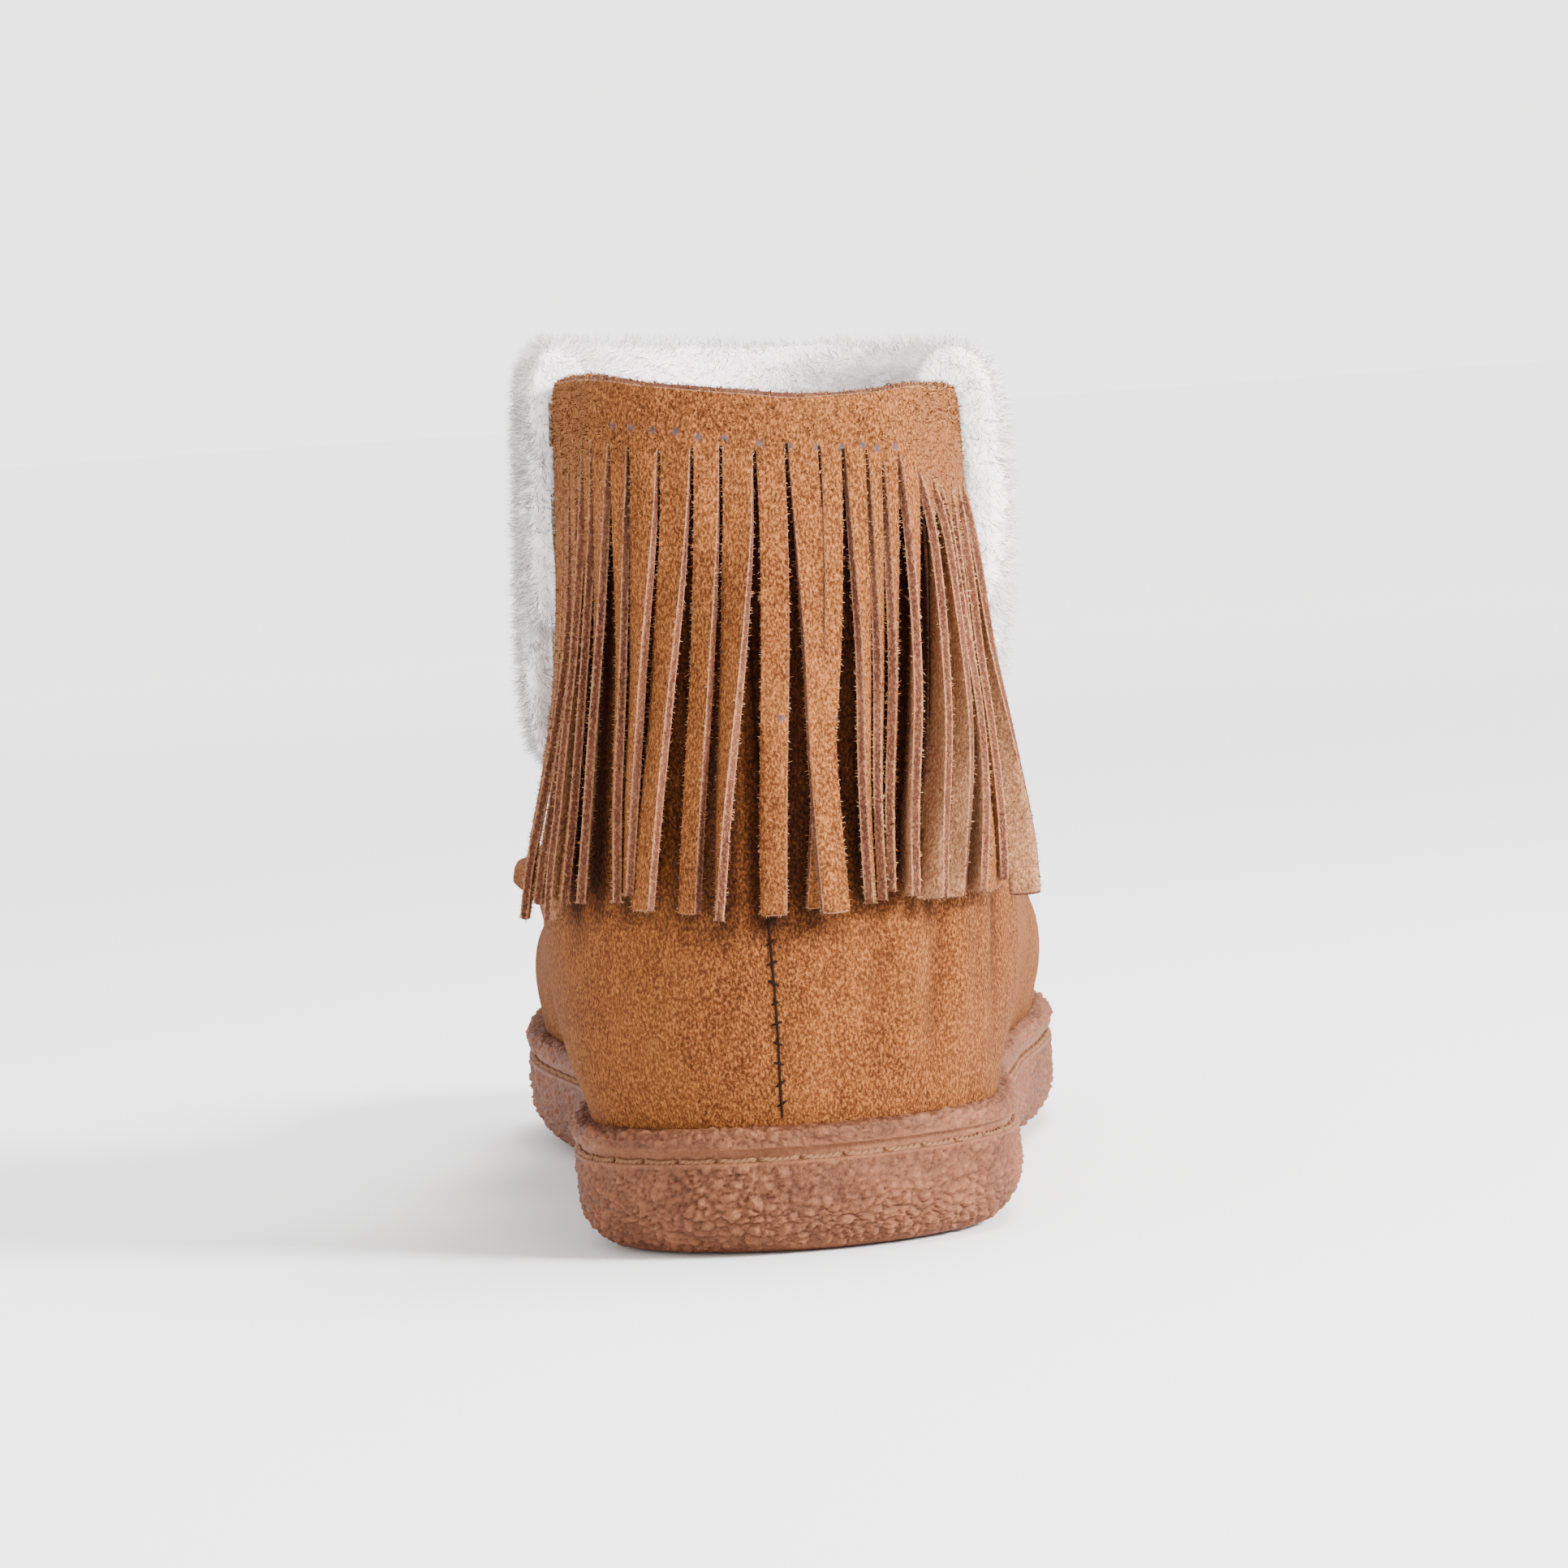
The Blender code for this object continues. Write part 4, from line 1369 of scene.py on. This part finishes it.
@dataclass
class Fringe:
    """Suede panel over the back of the shaft, its strands, their fuzz and the pricked marks above them."""

    edge_hairs: int = 22000
    nap_hairs: int = 20000
    wobble: float = 0.5 * MM
    wobble_cell: float = 9 * MM
    dent: float = 0.6 * MM
    rim_width: float = 0.6 * MM
    sharp: float = math.radians(40)
    back_height: float = 0.12
    fold_rises: tuple = (Swell(-25 * MM, 1.5 * MM, 9 * MM), Swell(9 * MM, -1.3 * MM, 14 * MM),
                         Swell(27 * MM, 0.8 * MM, 6 * MM))
    flat: tuple = (115.5 * MM, 92.5 * MM)
    held: str = "hung"
    edge_fuzz: Fibres = Fibres(length=0.55 * MM, width=0.14 * MM, bend=0.35, spread=0.6, clump=1.5 * MM,
                               steps=2)
    nap_fuzz: Fibres = Fibres(length=0.80 * MM, width=0.13 * MM, bend=0.3, spread=0.75, clump=3 * MM,
                              steps=2)
    camera: PhotoCamera = field(default_factory=PhotoCamera)
    marks_px: tuple = ((755, 525), (777, 527), (803, 530), (832, 532), (860, 538), (893, 540), (936, 547),
                       (972, 550), (1007, 551), (1036, 551), (1063, 548), (1080, 552), (1103, 550),
                       (963, 885), (1030, 885))

    def build(self) -> None:
        """Make the panel, then its fuzz."""
        piece = refined("fringe_panel", "suede_fringe", 2, 48, 0.9)
        self.wave(piece)
        self.paint(piece)
        fuzz = (self.grow_edge_fuzz(piece), self.grow_nap(piece))

    def wave(self, piece: Piece) -> None:
        """Let the strands and the fold run a little unevenly, as cut suede does.

        Args:
            piece: The panel.
        """
        points = coordinates(piece.data)
        low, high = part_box("fringe_panel")
        free = ease(high.z - points[:, 2], 14 * MM, 40 * MM)[:, None]
        tall = points * np.array([1, 1, 0.35])
        sway, lift = (grain(tall, self.wobble_cell, seed) for seed in (31, 32))
        shift = np.stack([sway, 0.4 * lift, np.zeros(len(points))], axis=1)
        band = ease(points[:, 2], high.z - 24 * MM, high.z - 14 * MM) * (points[:, 1] < low.y + 10 * MM)
        fold = ease(points[:, 2], high.z - 12 * MM, high.z - 1 * MM)
        rise = sum(swell.rise(points[:, 0]) for swell in self.fold_rises)
        rise += 0.25 * MM * grain(points, 7 * MM, 33)
        points = points + self.wobble * free * shift
        points[:, 2] += fold * rise
        flutes = grain(points * np.array([1, 1, 0.22]), 4.6 * MM, 35)
        flutes *= ease(high.z - points[:, 2], 4 * MM, 12 * MM)
        back = points[:, 1] < low.y + 12 * MM
        points[:, 1] += self.dent * (band * (grain(points, 15 * MM, 34) - 0.2) + back * (flutes - 0.15))
        move_to(piece.data, points)

    def paint(self, piece: Piece) -> None:
        """Give the nap, the cut edges and the flesh side their own finishes.

        Args:
            piece: The panel.
        """
        nap_side = FRINGE_SUEDE.make(self.marks(piece))
        for finish in (nap_side, CUT_SUEDE.make(rim_highlight=RIM_HIGHLIGHT), FLESH_SUEDE.make()):
            piece.data.materials.append(finish)
        shell = bmesh.new()
        shell.from_mesh(piece.data)
        shell.faces.ensure_lookup_table()
        patches = self.patches(shell)
        behind = [self.backward(patch) for patch in patches[:2]]
        nap = 0 if behind[0] >= behind[1] else 1
        for number, patch in enumerate(patches):
            side = Side.NAP if number == nap else Side.FLESH if number < 2 else Side.CUT_EDGE
            for face in patch:
                face.material_index = side.value
        shell.to_mesh(piece.data)
        shell.free()
        piece.data.shade_smooth()
        piece.data.set_sharp_from_angle(angle=self.sharp)
        self.paint_rim_highlights(piece)
        settle(piece, piece.data.materials[0], "fringe_suede", "fringe_panel")

    def marks(self, piece: Piece) -> list:
        """Places of the pricked marks on the panel.

        Args:
            piece: The panel.

        Returns:
            One point for each mark that the camera sees on it.
        """
        tree = tree_of(piece.data)
        rays = (tree.ray_cast(self.camera.eye(), self.camera.ray(*pixel))[0] for pixel in self.marks_px)
        spots = [place for place in rays if place is not None]
        log.info("pricked marks on the panel: %d", len(spots))
        return spots

    def patches(self, shell: bmesh.types.BMesh) -> list:
        """Parts of the panel's surface that sharp edges bound.

        Args:
            shell: The panel's bmesh.

        Returns:
            Lists of faces, the largest first.
        """
        waiting = set(shell.faces)
        patches = []
        while waiting:
            patch, front = [], [waiting.pop()]
            while front:
                face = front.pop()
                patch.append(face)
                for edge in face.edges:
                    if len(edge.link_faces) == 2 and edge.calc_face_angle() < self.sharp:
                        beside = waiting.intersection(edge.link_faces)
                        waiting -= beside
                        front.extend(beside)
            patches.append(patch)
        return sorted(patches, key=lambda patch: -sum(face.calc_area() for face in patch))

    def backward(self, patch: list) -> float:
        """How clearly a patch is the panel's rear face.

        Args:
            patch: The patch's faces.

        Returns:
            A number that is larger for the rear face.
        """
        high = (face for face in patch if face.calc_center_median().z > self.back_height)
        facing = max((-face.normal.y for face in high), default=0)
        return facing * -min(face.calc_center_median().y for face in patch)

    def paint_rim_highlights(self, piece: Piece) -> None:
        """Store how near each vertex is to a rim between a face of the suede and a cut side, where a
        highlight is painted.

        Args:
            piece: The panel.
        """
        starts, ends, _ = self.borders(piece)
        places = np.concatenate([starts, ends])
        rims = KDTree(len(places))
        for number, place in enumerate(places):
            rims.insert(place, number)
        rims.balance()
        away = np.array([rims.find(point)[2] for point in coordinates(piece.data)])
        store(piece.data, "rim", 1 - ease(away, 0, self.rim_width))

    def borders(self, piece: Piece) -> tuple[np.ndarray, np.ndarray, np.ndarray]:
        """Edges between the faces and the cut sides of the suede.

        Args:
            piece: The panel.

        Returns:
            Start points, end points and outward directions of those edges.
        """
        shell = bmesh.new()
        shell.from_mesh(piece.data)
        starts, ends, outs = [], [], []
        for edge in shell.edges:
            if len(edge.link_faces) == 2:
                one, two = edge.link_faces
                if one.material_index != two.material_index:
                    starts.append(edge.verts[0].co[:])
                    ends.append(edge.verts[1].co[:])
                    outs.append((one.normal + two.normal).normalized()[:])
        shell.free()
        return np.array(starts), np.array(ends), np.array(outs)

    def grow_edge_fuzz(self, piece: Piece) -> Piece:
        """Short light hairs along every cut.

        Args:
            piece: The panel.

        Returns:
            The hairs.
        """
        rng = np.random.default_rng(41)
        starts, ends, outs = self.borders(piece)
        lengths = np.linalg.norm(ends - starts, axis=1)
        chosen = rng.choice(len(lengths), self.edge_hairs, p=lengths / lengths.sum())
        share = rng.random(self.edge_hairs)[:, None]
        points = starts[chosen] + share * (ends - starts)[chosen] - 0.12 * MM * outs[chosen]
        roots = Samples(points, outs[chosen])
        fuzz = self.edge_fuzz.grow("fringe_edge_fuzz", roots, np.array([0, 0, -0.5]), rng)
        settle(fuzz, FRINGE_FUZZ.make(), "fringe_suede")
        return fuzz

    def grow_nap(self, piece: Piece) -> Piece:
        """Short nap on the fold and the band, seen against the light.

        Args:
            piece: The panel.

        Returns:
            The nap.
        """
        rng = np.random.default_rng(43)
        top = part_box("fringe_panel")[1].z
        roots = scatter(piece.data, self.nap_hairs, rng,
                        lambda places: ease(places[:, 2], top - 22 * MM, top - 6 * MM) + 0.12)
        nap = self.nap_fuzz.grow("fringe_nap", roots, np.array([0, 0, -0.6]), rng)
        settle(nap, NAP_FUZZ.make(), "fringe_suede")
        return nap


@dataclass
class Fleece:
    """Sheepskin cuff folded over the collar, and the fleece that lines the shaft and foot."""

    face_pile: int = 56000
    roll_pile: int = 56000
    lining_pile: int = 30000
    lining_ends: tuple = (27 * MM, 133 * MM)
    inset: float = 0.6 * MM
    full: float = 3.2 * MM
    full_fade: tuple = (88 * MM, 132 * MM)
    lumps: tuple = ((0.40 * MM, 7 * MM, 51), (0.22 * MM, 3 * MM, 52))
    root_depth: float = 0.8 * MM
    roll_depth: float = 24 * MM
    roll_blend: float = 3 * MM
    wool: Fibres = Fibres(length=2.4 * MM, width=0.12 * MM, bend=0.4, spread=0.5, clump=4 * MM, steps=2,
                          opaque=False)
    lining_wool: Fibres = Fibres(length=2.6 * MM, width=0.24 * MM, bend=0.4, spread=0.45, clump=5 * MM,
                                 steps=2, opaque=False)

    def build(self) -> None:
        """Make the pelt, its pile and the lining."""
        pelt = refined("fleece_cuff", "fleece_pelt", 2, 60, 0.2)
        points, normals = coordinates(pelt.data), vertex_normals(pelt.data)
        outer = self.away_from_upper(points)
        inner_side = ease(-normals[:, 0], 0.3, 0.8) * (1 - ease(points[:, 2], *self.full_fade))
        points = points + normals * (self.full * outer * inner_side)[:, None]
        move_to(pelt.data, points)
        wool_face = pelt.data.copy()
        relief = sum(height * grain(points, cell, seed) for height, cell, seed in self.lumps)
        move_to(pelt.data, points + normals * ((relief - self.inset) * outer)[:, None])
        pelt.data.materials.append(WHITE_SKIN.make())
        pelt.data.materials.append(PELT_EDGE.make())
        choose_faces(pelt.data, outer, 0.12)
        settle(pelt, pelt.data.materials[0], "white_fleece", "fleece_cuff")
        self.grow_pile(wool_face)
        self.line_shaft()

    def away_from_upper(self, points: np.ndarray) -> np.ndarray:
        """Share, 1 where the pelt shows its wool and 0 where it lies on the upper.

        Args:
            points: Points on the pelt.

        Returns:
            One number for each point.
        """
        tree = tree_of(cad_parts["upper"].data)
        gaps = np.array([tree.find_nearest(Vector(point))[3] or 1.0 for point in points])
        return ease(gaps, 1.6 * MM, 3.6 * MM)

    def grow_pile(self, surface: Mesh) -> None:
        """Two layers of wool: the face of the cuff and the roll over the collar.

        Args:
            surface: The pelt's outer surface.
        """
        rng = np.random.default_rng(61)
        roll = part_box("fleece_cuff")[1].z - self.roll_depth

        def rolled(places: np.ndarray) -> np.ndarray:
            """Share of each place that belongs to the roll."""
            return ease(places[:, 2], roll - self.roll_blend, roll + self.roll_blend)

        layers = (("fleece_face_pile", self.face_pile, lambda places: 1 - rolled(places)),
                  ("fleece_roll_pile", self.roll_pile, rolled))
        for name, count, weigh in layers:
            roots = scatter(surface, int(count * 1.6), rng, weigh)
            roots = roots.keep(self.away_from_upper(roots.points) > 0.01).first(count)
            roots = Samples(roots.points - roots.normals * self.root_depth, roots.normals)
            pile = self.wool.grow(name, roots, np.array([0, 0, -0.45]), rng)
            settle(pile, WHITE_PILE.make(), "white_fleece")

    def line_shaft(self) -> None:
        """Fleece on the wall inside the shaft and the foot."""
        rng = np.random.default_rng(71)
        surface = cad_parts["upper"].data
        roots = scatter(surface, 3 * self.lining_pile, rng,
                        lambda places: 0.12 + ease(places[:, 2], 60 * MM, 90 * MM))
        low, high = self.lining_ends
        roots = roots.keep((roots.points[:, 2] < high) & (roots.points[:, 2] > low))
        roots = roots.keep(inner_share(tree_of(surface), roots.points, roots.normals) > 0.98)
        roots = roots.first(self.lining_pile)
        lining = self.lining_wool.grow("shaft_lining_pile", roots, np.array([0, 0, 0.2]), rng)
        settle(lining, WHITE_PILE.make(), "white_fleece")


@dataclass
class Footbed:
    """Fleece footbed in the bottom of the shoe."""

    pile: int = 16000
    softness: float = 0.35 * MM
    wool: Fibres = Fibres(length=2.6 * MM, width=0.5 * MM, bend=0.4, spread=0.45, clump=6 * MM, steps=2,
                          opaque=False)

    def build(self) -> None:
        """Make the padded sheet and its short pile."""
        bed = refined("insole", "fleece_footbed", 2, 50, 0.5)
        points, normals = coordinates(bed.data), vertex_normals(bed.data)
        soft = self.softness * grain(points, 12 * MM, 81) * (normals[:, 2] > 0.5)
        move_to(bed.data, points + normals * soft[:, None])
        settle(bed, FOOTBED.make(), "footbed_fleece", "insole")
        rng = np.random.default_rng(83)
        roots = scatter(bed.data, self.pile * 3, rng)
        roots = roots.keep(roots.normals[:, 2] > 0.7).first(self.pile)
        pile = self.wool.grow("footbed_pile", roots, np.array([0, 0.3, 0]), rng)
        settle(pile, WHITE_PILE.make(), "footbed_fleece")


@dataclass
class Sole:
    """Crepe rubber cup sole with its sewn groove."""

    lump: float = 2.2 * MM
    flatter: float = 1.35
    lump_depth: float = 1.5 * MM
    lump_level: float = 0.62
    smear: float = 0.8 * MM
    longest_edge: float = 0.65 * MM
    rim_height: float = 21.5 * MM
    ball_share: float = 0.73
    groove_low: float = 15.7 * MM
    groove_high: float = 17.9 * MM
    groove_lip: float = 0.55 * MM
    stitch: float = 7.0 * MM
    twists: float = 3.2
    ply: float = 0.36 * MM
    rings: int = 13

    @cached_property
    def reach(self) -> tuple[Vector, Vector]:
        """Both corners of the outsole's box."""
        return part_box("outsole")

    def build(self) -> None:
        """Make the rubber, then the thread."""
        piece = refined("outsole", "crepe_outsole", 2, 30, 0.75)
        self.divide_walls(piece)
        points, normals = coordinates(piece.data), vertex_normals(piece.data)
        amount = self.crepe_share(points, normals)
        drift = np.stack([grain(points, 2.6 * MM, seed) for seed in (92, 93, 94)], axis=1)
        bent = points + self.smear * drift
        bent *= np.array([1, 1, self.flatter])
        crumb = 0.6 * crumbs(bent, self.lump, 91) + 0.4 * crumbs(bent, 0.55 * self.lump, 95)
        crumb *= 0.85 + 0.3 * grain(points, 9 * MM, 97)
        rise = self.lump_depth * amount * (crumb - self.lump_level)
        move_to(piece.data, points + normals * rise[:, None])
        # The rubber's material paints shade into the creases from this attribute
        store(piece.data, "crumb", crumb * amount + self.lump_level * (1 - amount))
        settle(piece, CREPE.make(), "sole_rubber", "outsole")
        self.sew_groove()

    def divide_walls(self, piece: Piece) -> None:
        """Make the mesh finer where the rubber is wrinkled.

        Args:
            piece: The sole.
        """
        shell = bmesh.new()
        shell.from_mesh(piece.data)
        centres = np.array([face.calc_center_median()[:] for face in shell.faces])
        normals = np.array([face.normal[:] for face in shell.faces])
        chosen = self.crepe_share(centres, normals) > 0.15
        edges = {edge for face, picked in zip(shell.faces, chosen) if picked for edge in face.edges}
        long_edges = [edge for edge in edges if edge.calc_length() > self.longest_edge]
        bmesh.ops.subdivide_edges(shell, edges=long_edges, cuts=3, use_grid_fill=True)
        shell.to_mesh(piece.data)
        shell.free()
        piece.data.shade_smooth()

    def crepe_share(self, points: np.ndarray, normals: np.ndarray) -> np.ndarray:
        """How wrinkled the rubber is: most on the wall, less on the lip, not in the cup or the groove.

        Args:
            points: Points on the sole.
            normals: Its normals there.

        Returns:
            A share from 0 to 1 for each point.
        """
        z = points[:, 2] - self.toe_rise(points[:, 1])
        core = np.stack([np.zeros(len(points)), np.clip(points[:, 1], 0, 185 * MM)], axis=1)
        facing = np.einsum("ij,ij->i", normals[:, :2], unit(points[:, :2] - core))
        outside = ease(facing, 0.05, 0.35)
        above = ease(z, self.groove_high + 1.5 * MM, self.groove_high + 2.5 * MM)
        lip = ease(normals[:, 2], 0.5, 0.8) * above
        band = ease(z, self.groove_low - 0.9 * MM, self.groove_low) * (
            1 - ease(z, self.groove_high, self.groove_high + 0.7 * MM))
        wall = outside * (1 - band) * np.where(z > self.groove_high, 0.9, 1.0)
        return np.maximum(wall, 0.85 * lip) * ease(z, 0.3 * MM, 1.6 * MM)

    def toe_rise(self, along: np.ndarray) -> np.ndarray:
        """How far the sole's forepart is sprung up, from the frame's own box.

        Args:
            along: Places along the shoe.

        Returns:
            The rise at each place.
        """
        low, high = self.reach
        spring = high.z - self.rim_height
        ball_end = low.y + self.ball_share * (high.y - low.y)
        return spring * np.clip((along - ball_end) / (high.y - ball_end), 0, None) ** 2

    def groove_line(self) -> np.ndarray:
        """Line round the sole at the lower lip of its groove.

        Returns:
            Points at even distances along it.
        """
        tree = tree_of(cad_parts["outsole"].data)
        low, high = self.reach
        line = []
        for turn in np.linspace(0, 2 * math.pi, 721)[:-1]:
            core = Vector((0, low.y + 0.5 * (high.y - low.y) * (1 - 0.62 * math.cos(turn)), 0))
            out = Vector((math.sin(turn), -math.cos(turn), 0))
            height = self.groove_low + self.groove_lip
            for _ in range(3):
                place, _, _, _ = tree.ray_cast(core + out * 0.25 + Vector((0, 0, height)), -out, 0.25)
                if place is None:
                    break
                height = self.groove_low + self.groove_lip + float(self.toe_rise(np.array([place.y]))[0])
            if place is not None:
                line.append((place + out * 0.15 * MM)[:])
        closed = np.array(line + line[:1])
        arcs = np.concatenate([[0], np.cumsum(np.linalg.norm(np.diff(closed, axis=0), axis=1))])
        even = np.linspace(0, arcs[-1], int(arcs[-1] / (0.5 * MM)))
        return np.stack([np.interp(even, arcs, closed[:, axis]) for axis in range(3)], axis=1)

    def sew_groove(self) -> None:
        """Rope of two plies that dips into a hole after each stitch."""
        line = self.groove_line()
        arc = np.concatenate([[0], np.cumsum(np.linalg.norm(np.diff(line, axis=0), axis=1))])
        count = round(arc[-1] / self.stitch)
        share = np.linspace(0.03, 0.97, self.rings)
        at = (np.arange(count)[:, None] + share) * arc[-1] / count
        place = np.stack([np.interp(at, arc, line[:, axis]) for axis in range(3)], axis=-1)
        ahead = unit(np.gradient(place, axis=1))
        out = unit(np.stack([ahead[..., 1], -ahead[..., 0], np.zeros(at.shape)], axis=-1))
        out *= np.sign(np.sum(out * (place - line.mean(axis=0)), axis=-1, keepdims=True))
        sink = 0.16 * MM - 0.9 * MM * np.abs(2 * share - 1) ** 6
        sag = -0.35 * MM * np.sin(math.pi * share)
        plies = []
        for phase in (0.0, math.pi):
            twist = phase + 2 * math.pi * share * self.twists
            plies.append(place + out * (sink + 0.8 * self.ply * np.cos(twist))[:, None]
                         + np.array([0, 0, 1.0]) * (sag + 0.8 * self.ply * np.sin(twist))[:, None])
        thread = Rod(self.ply, self.rings).bend("groove_thread", np.concatenate(plies))
        settle(thread, SOLE_THREAD.make(), "sole_rubber")


def main() -> None:
    """Build the studio and every part of the slipper."""
    logging.basicConfig(level=logging.INFO, format="%(relativeCreated)d ms %(name)s %(message)s")
    camera = PhotoCamera()
    camera.build()
    Studio().build()
    for part in (Sole(), Footbed(), Upper(), Fringe(camera=camera), Fleece()):
        part.build()
        log.info("built %s", type(part).__name__)


if __name__ == "__main__":
    main()
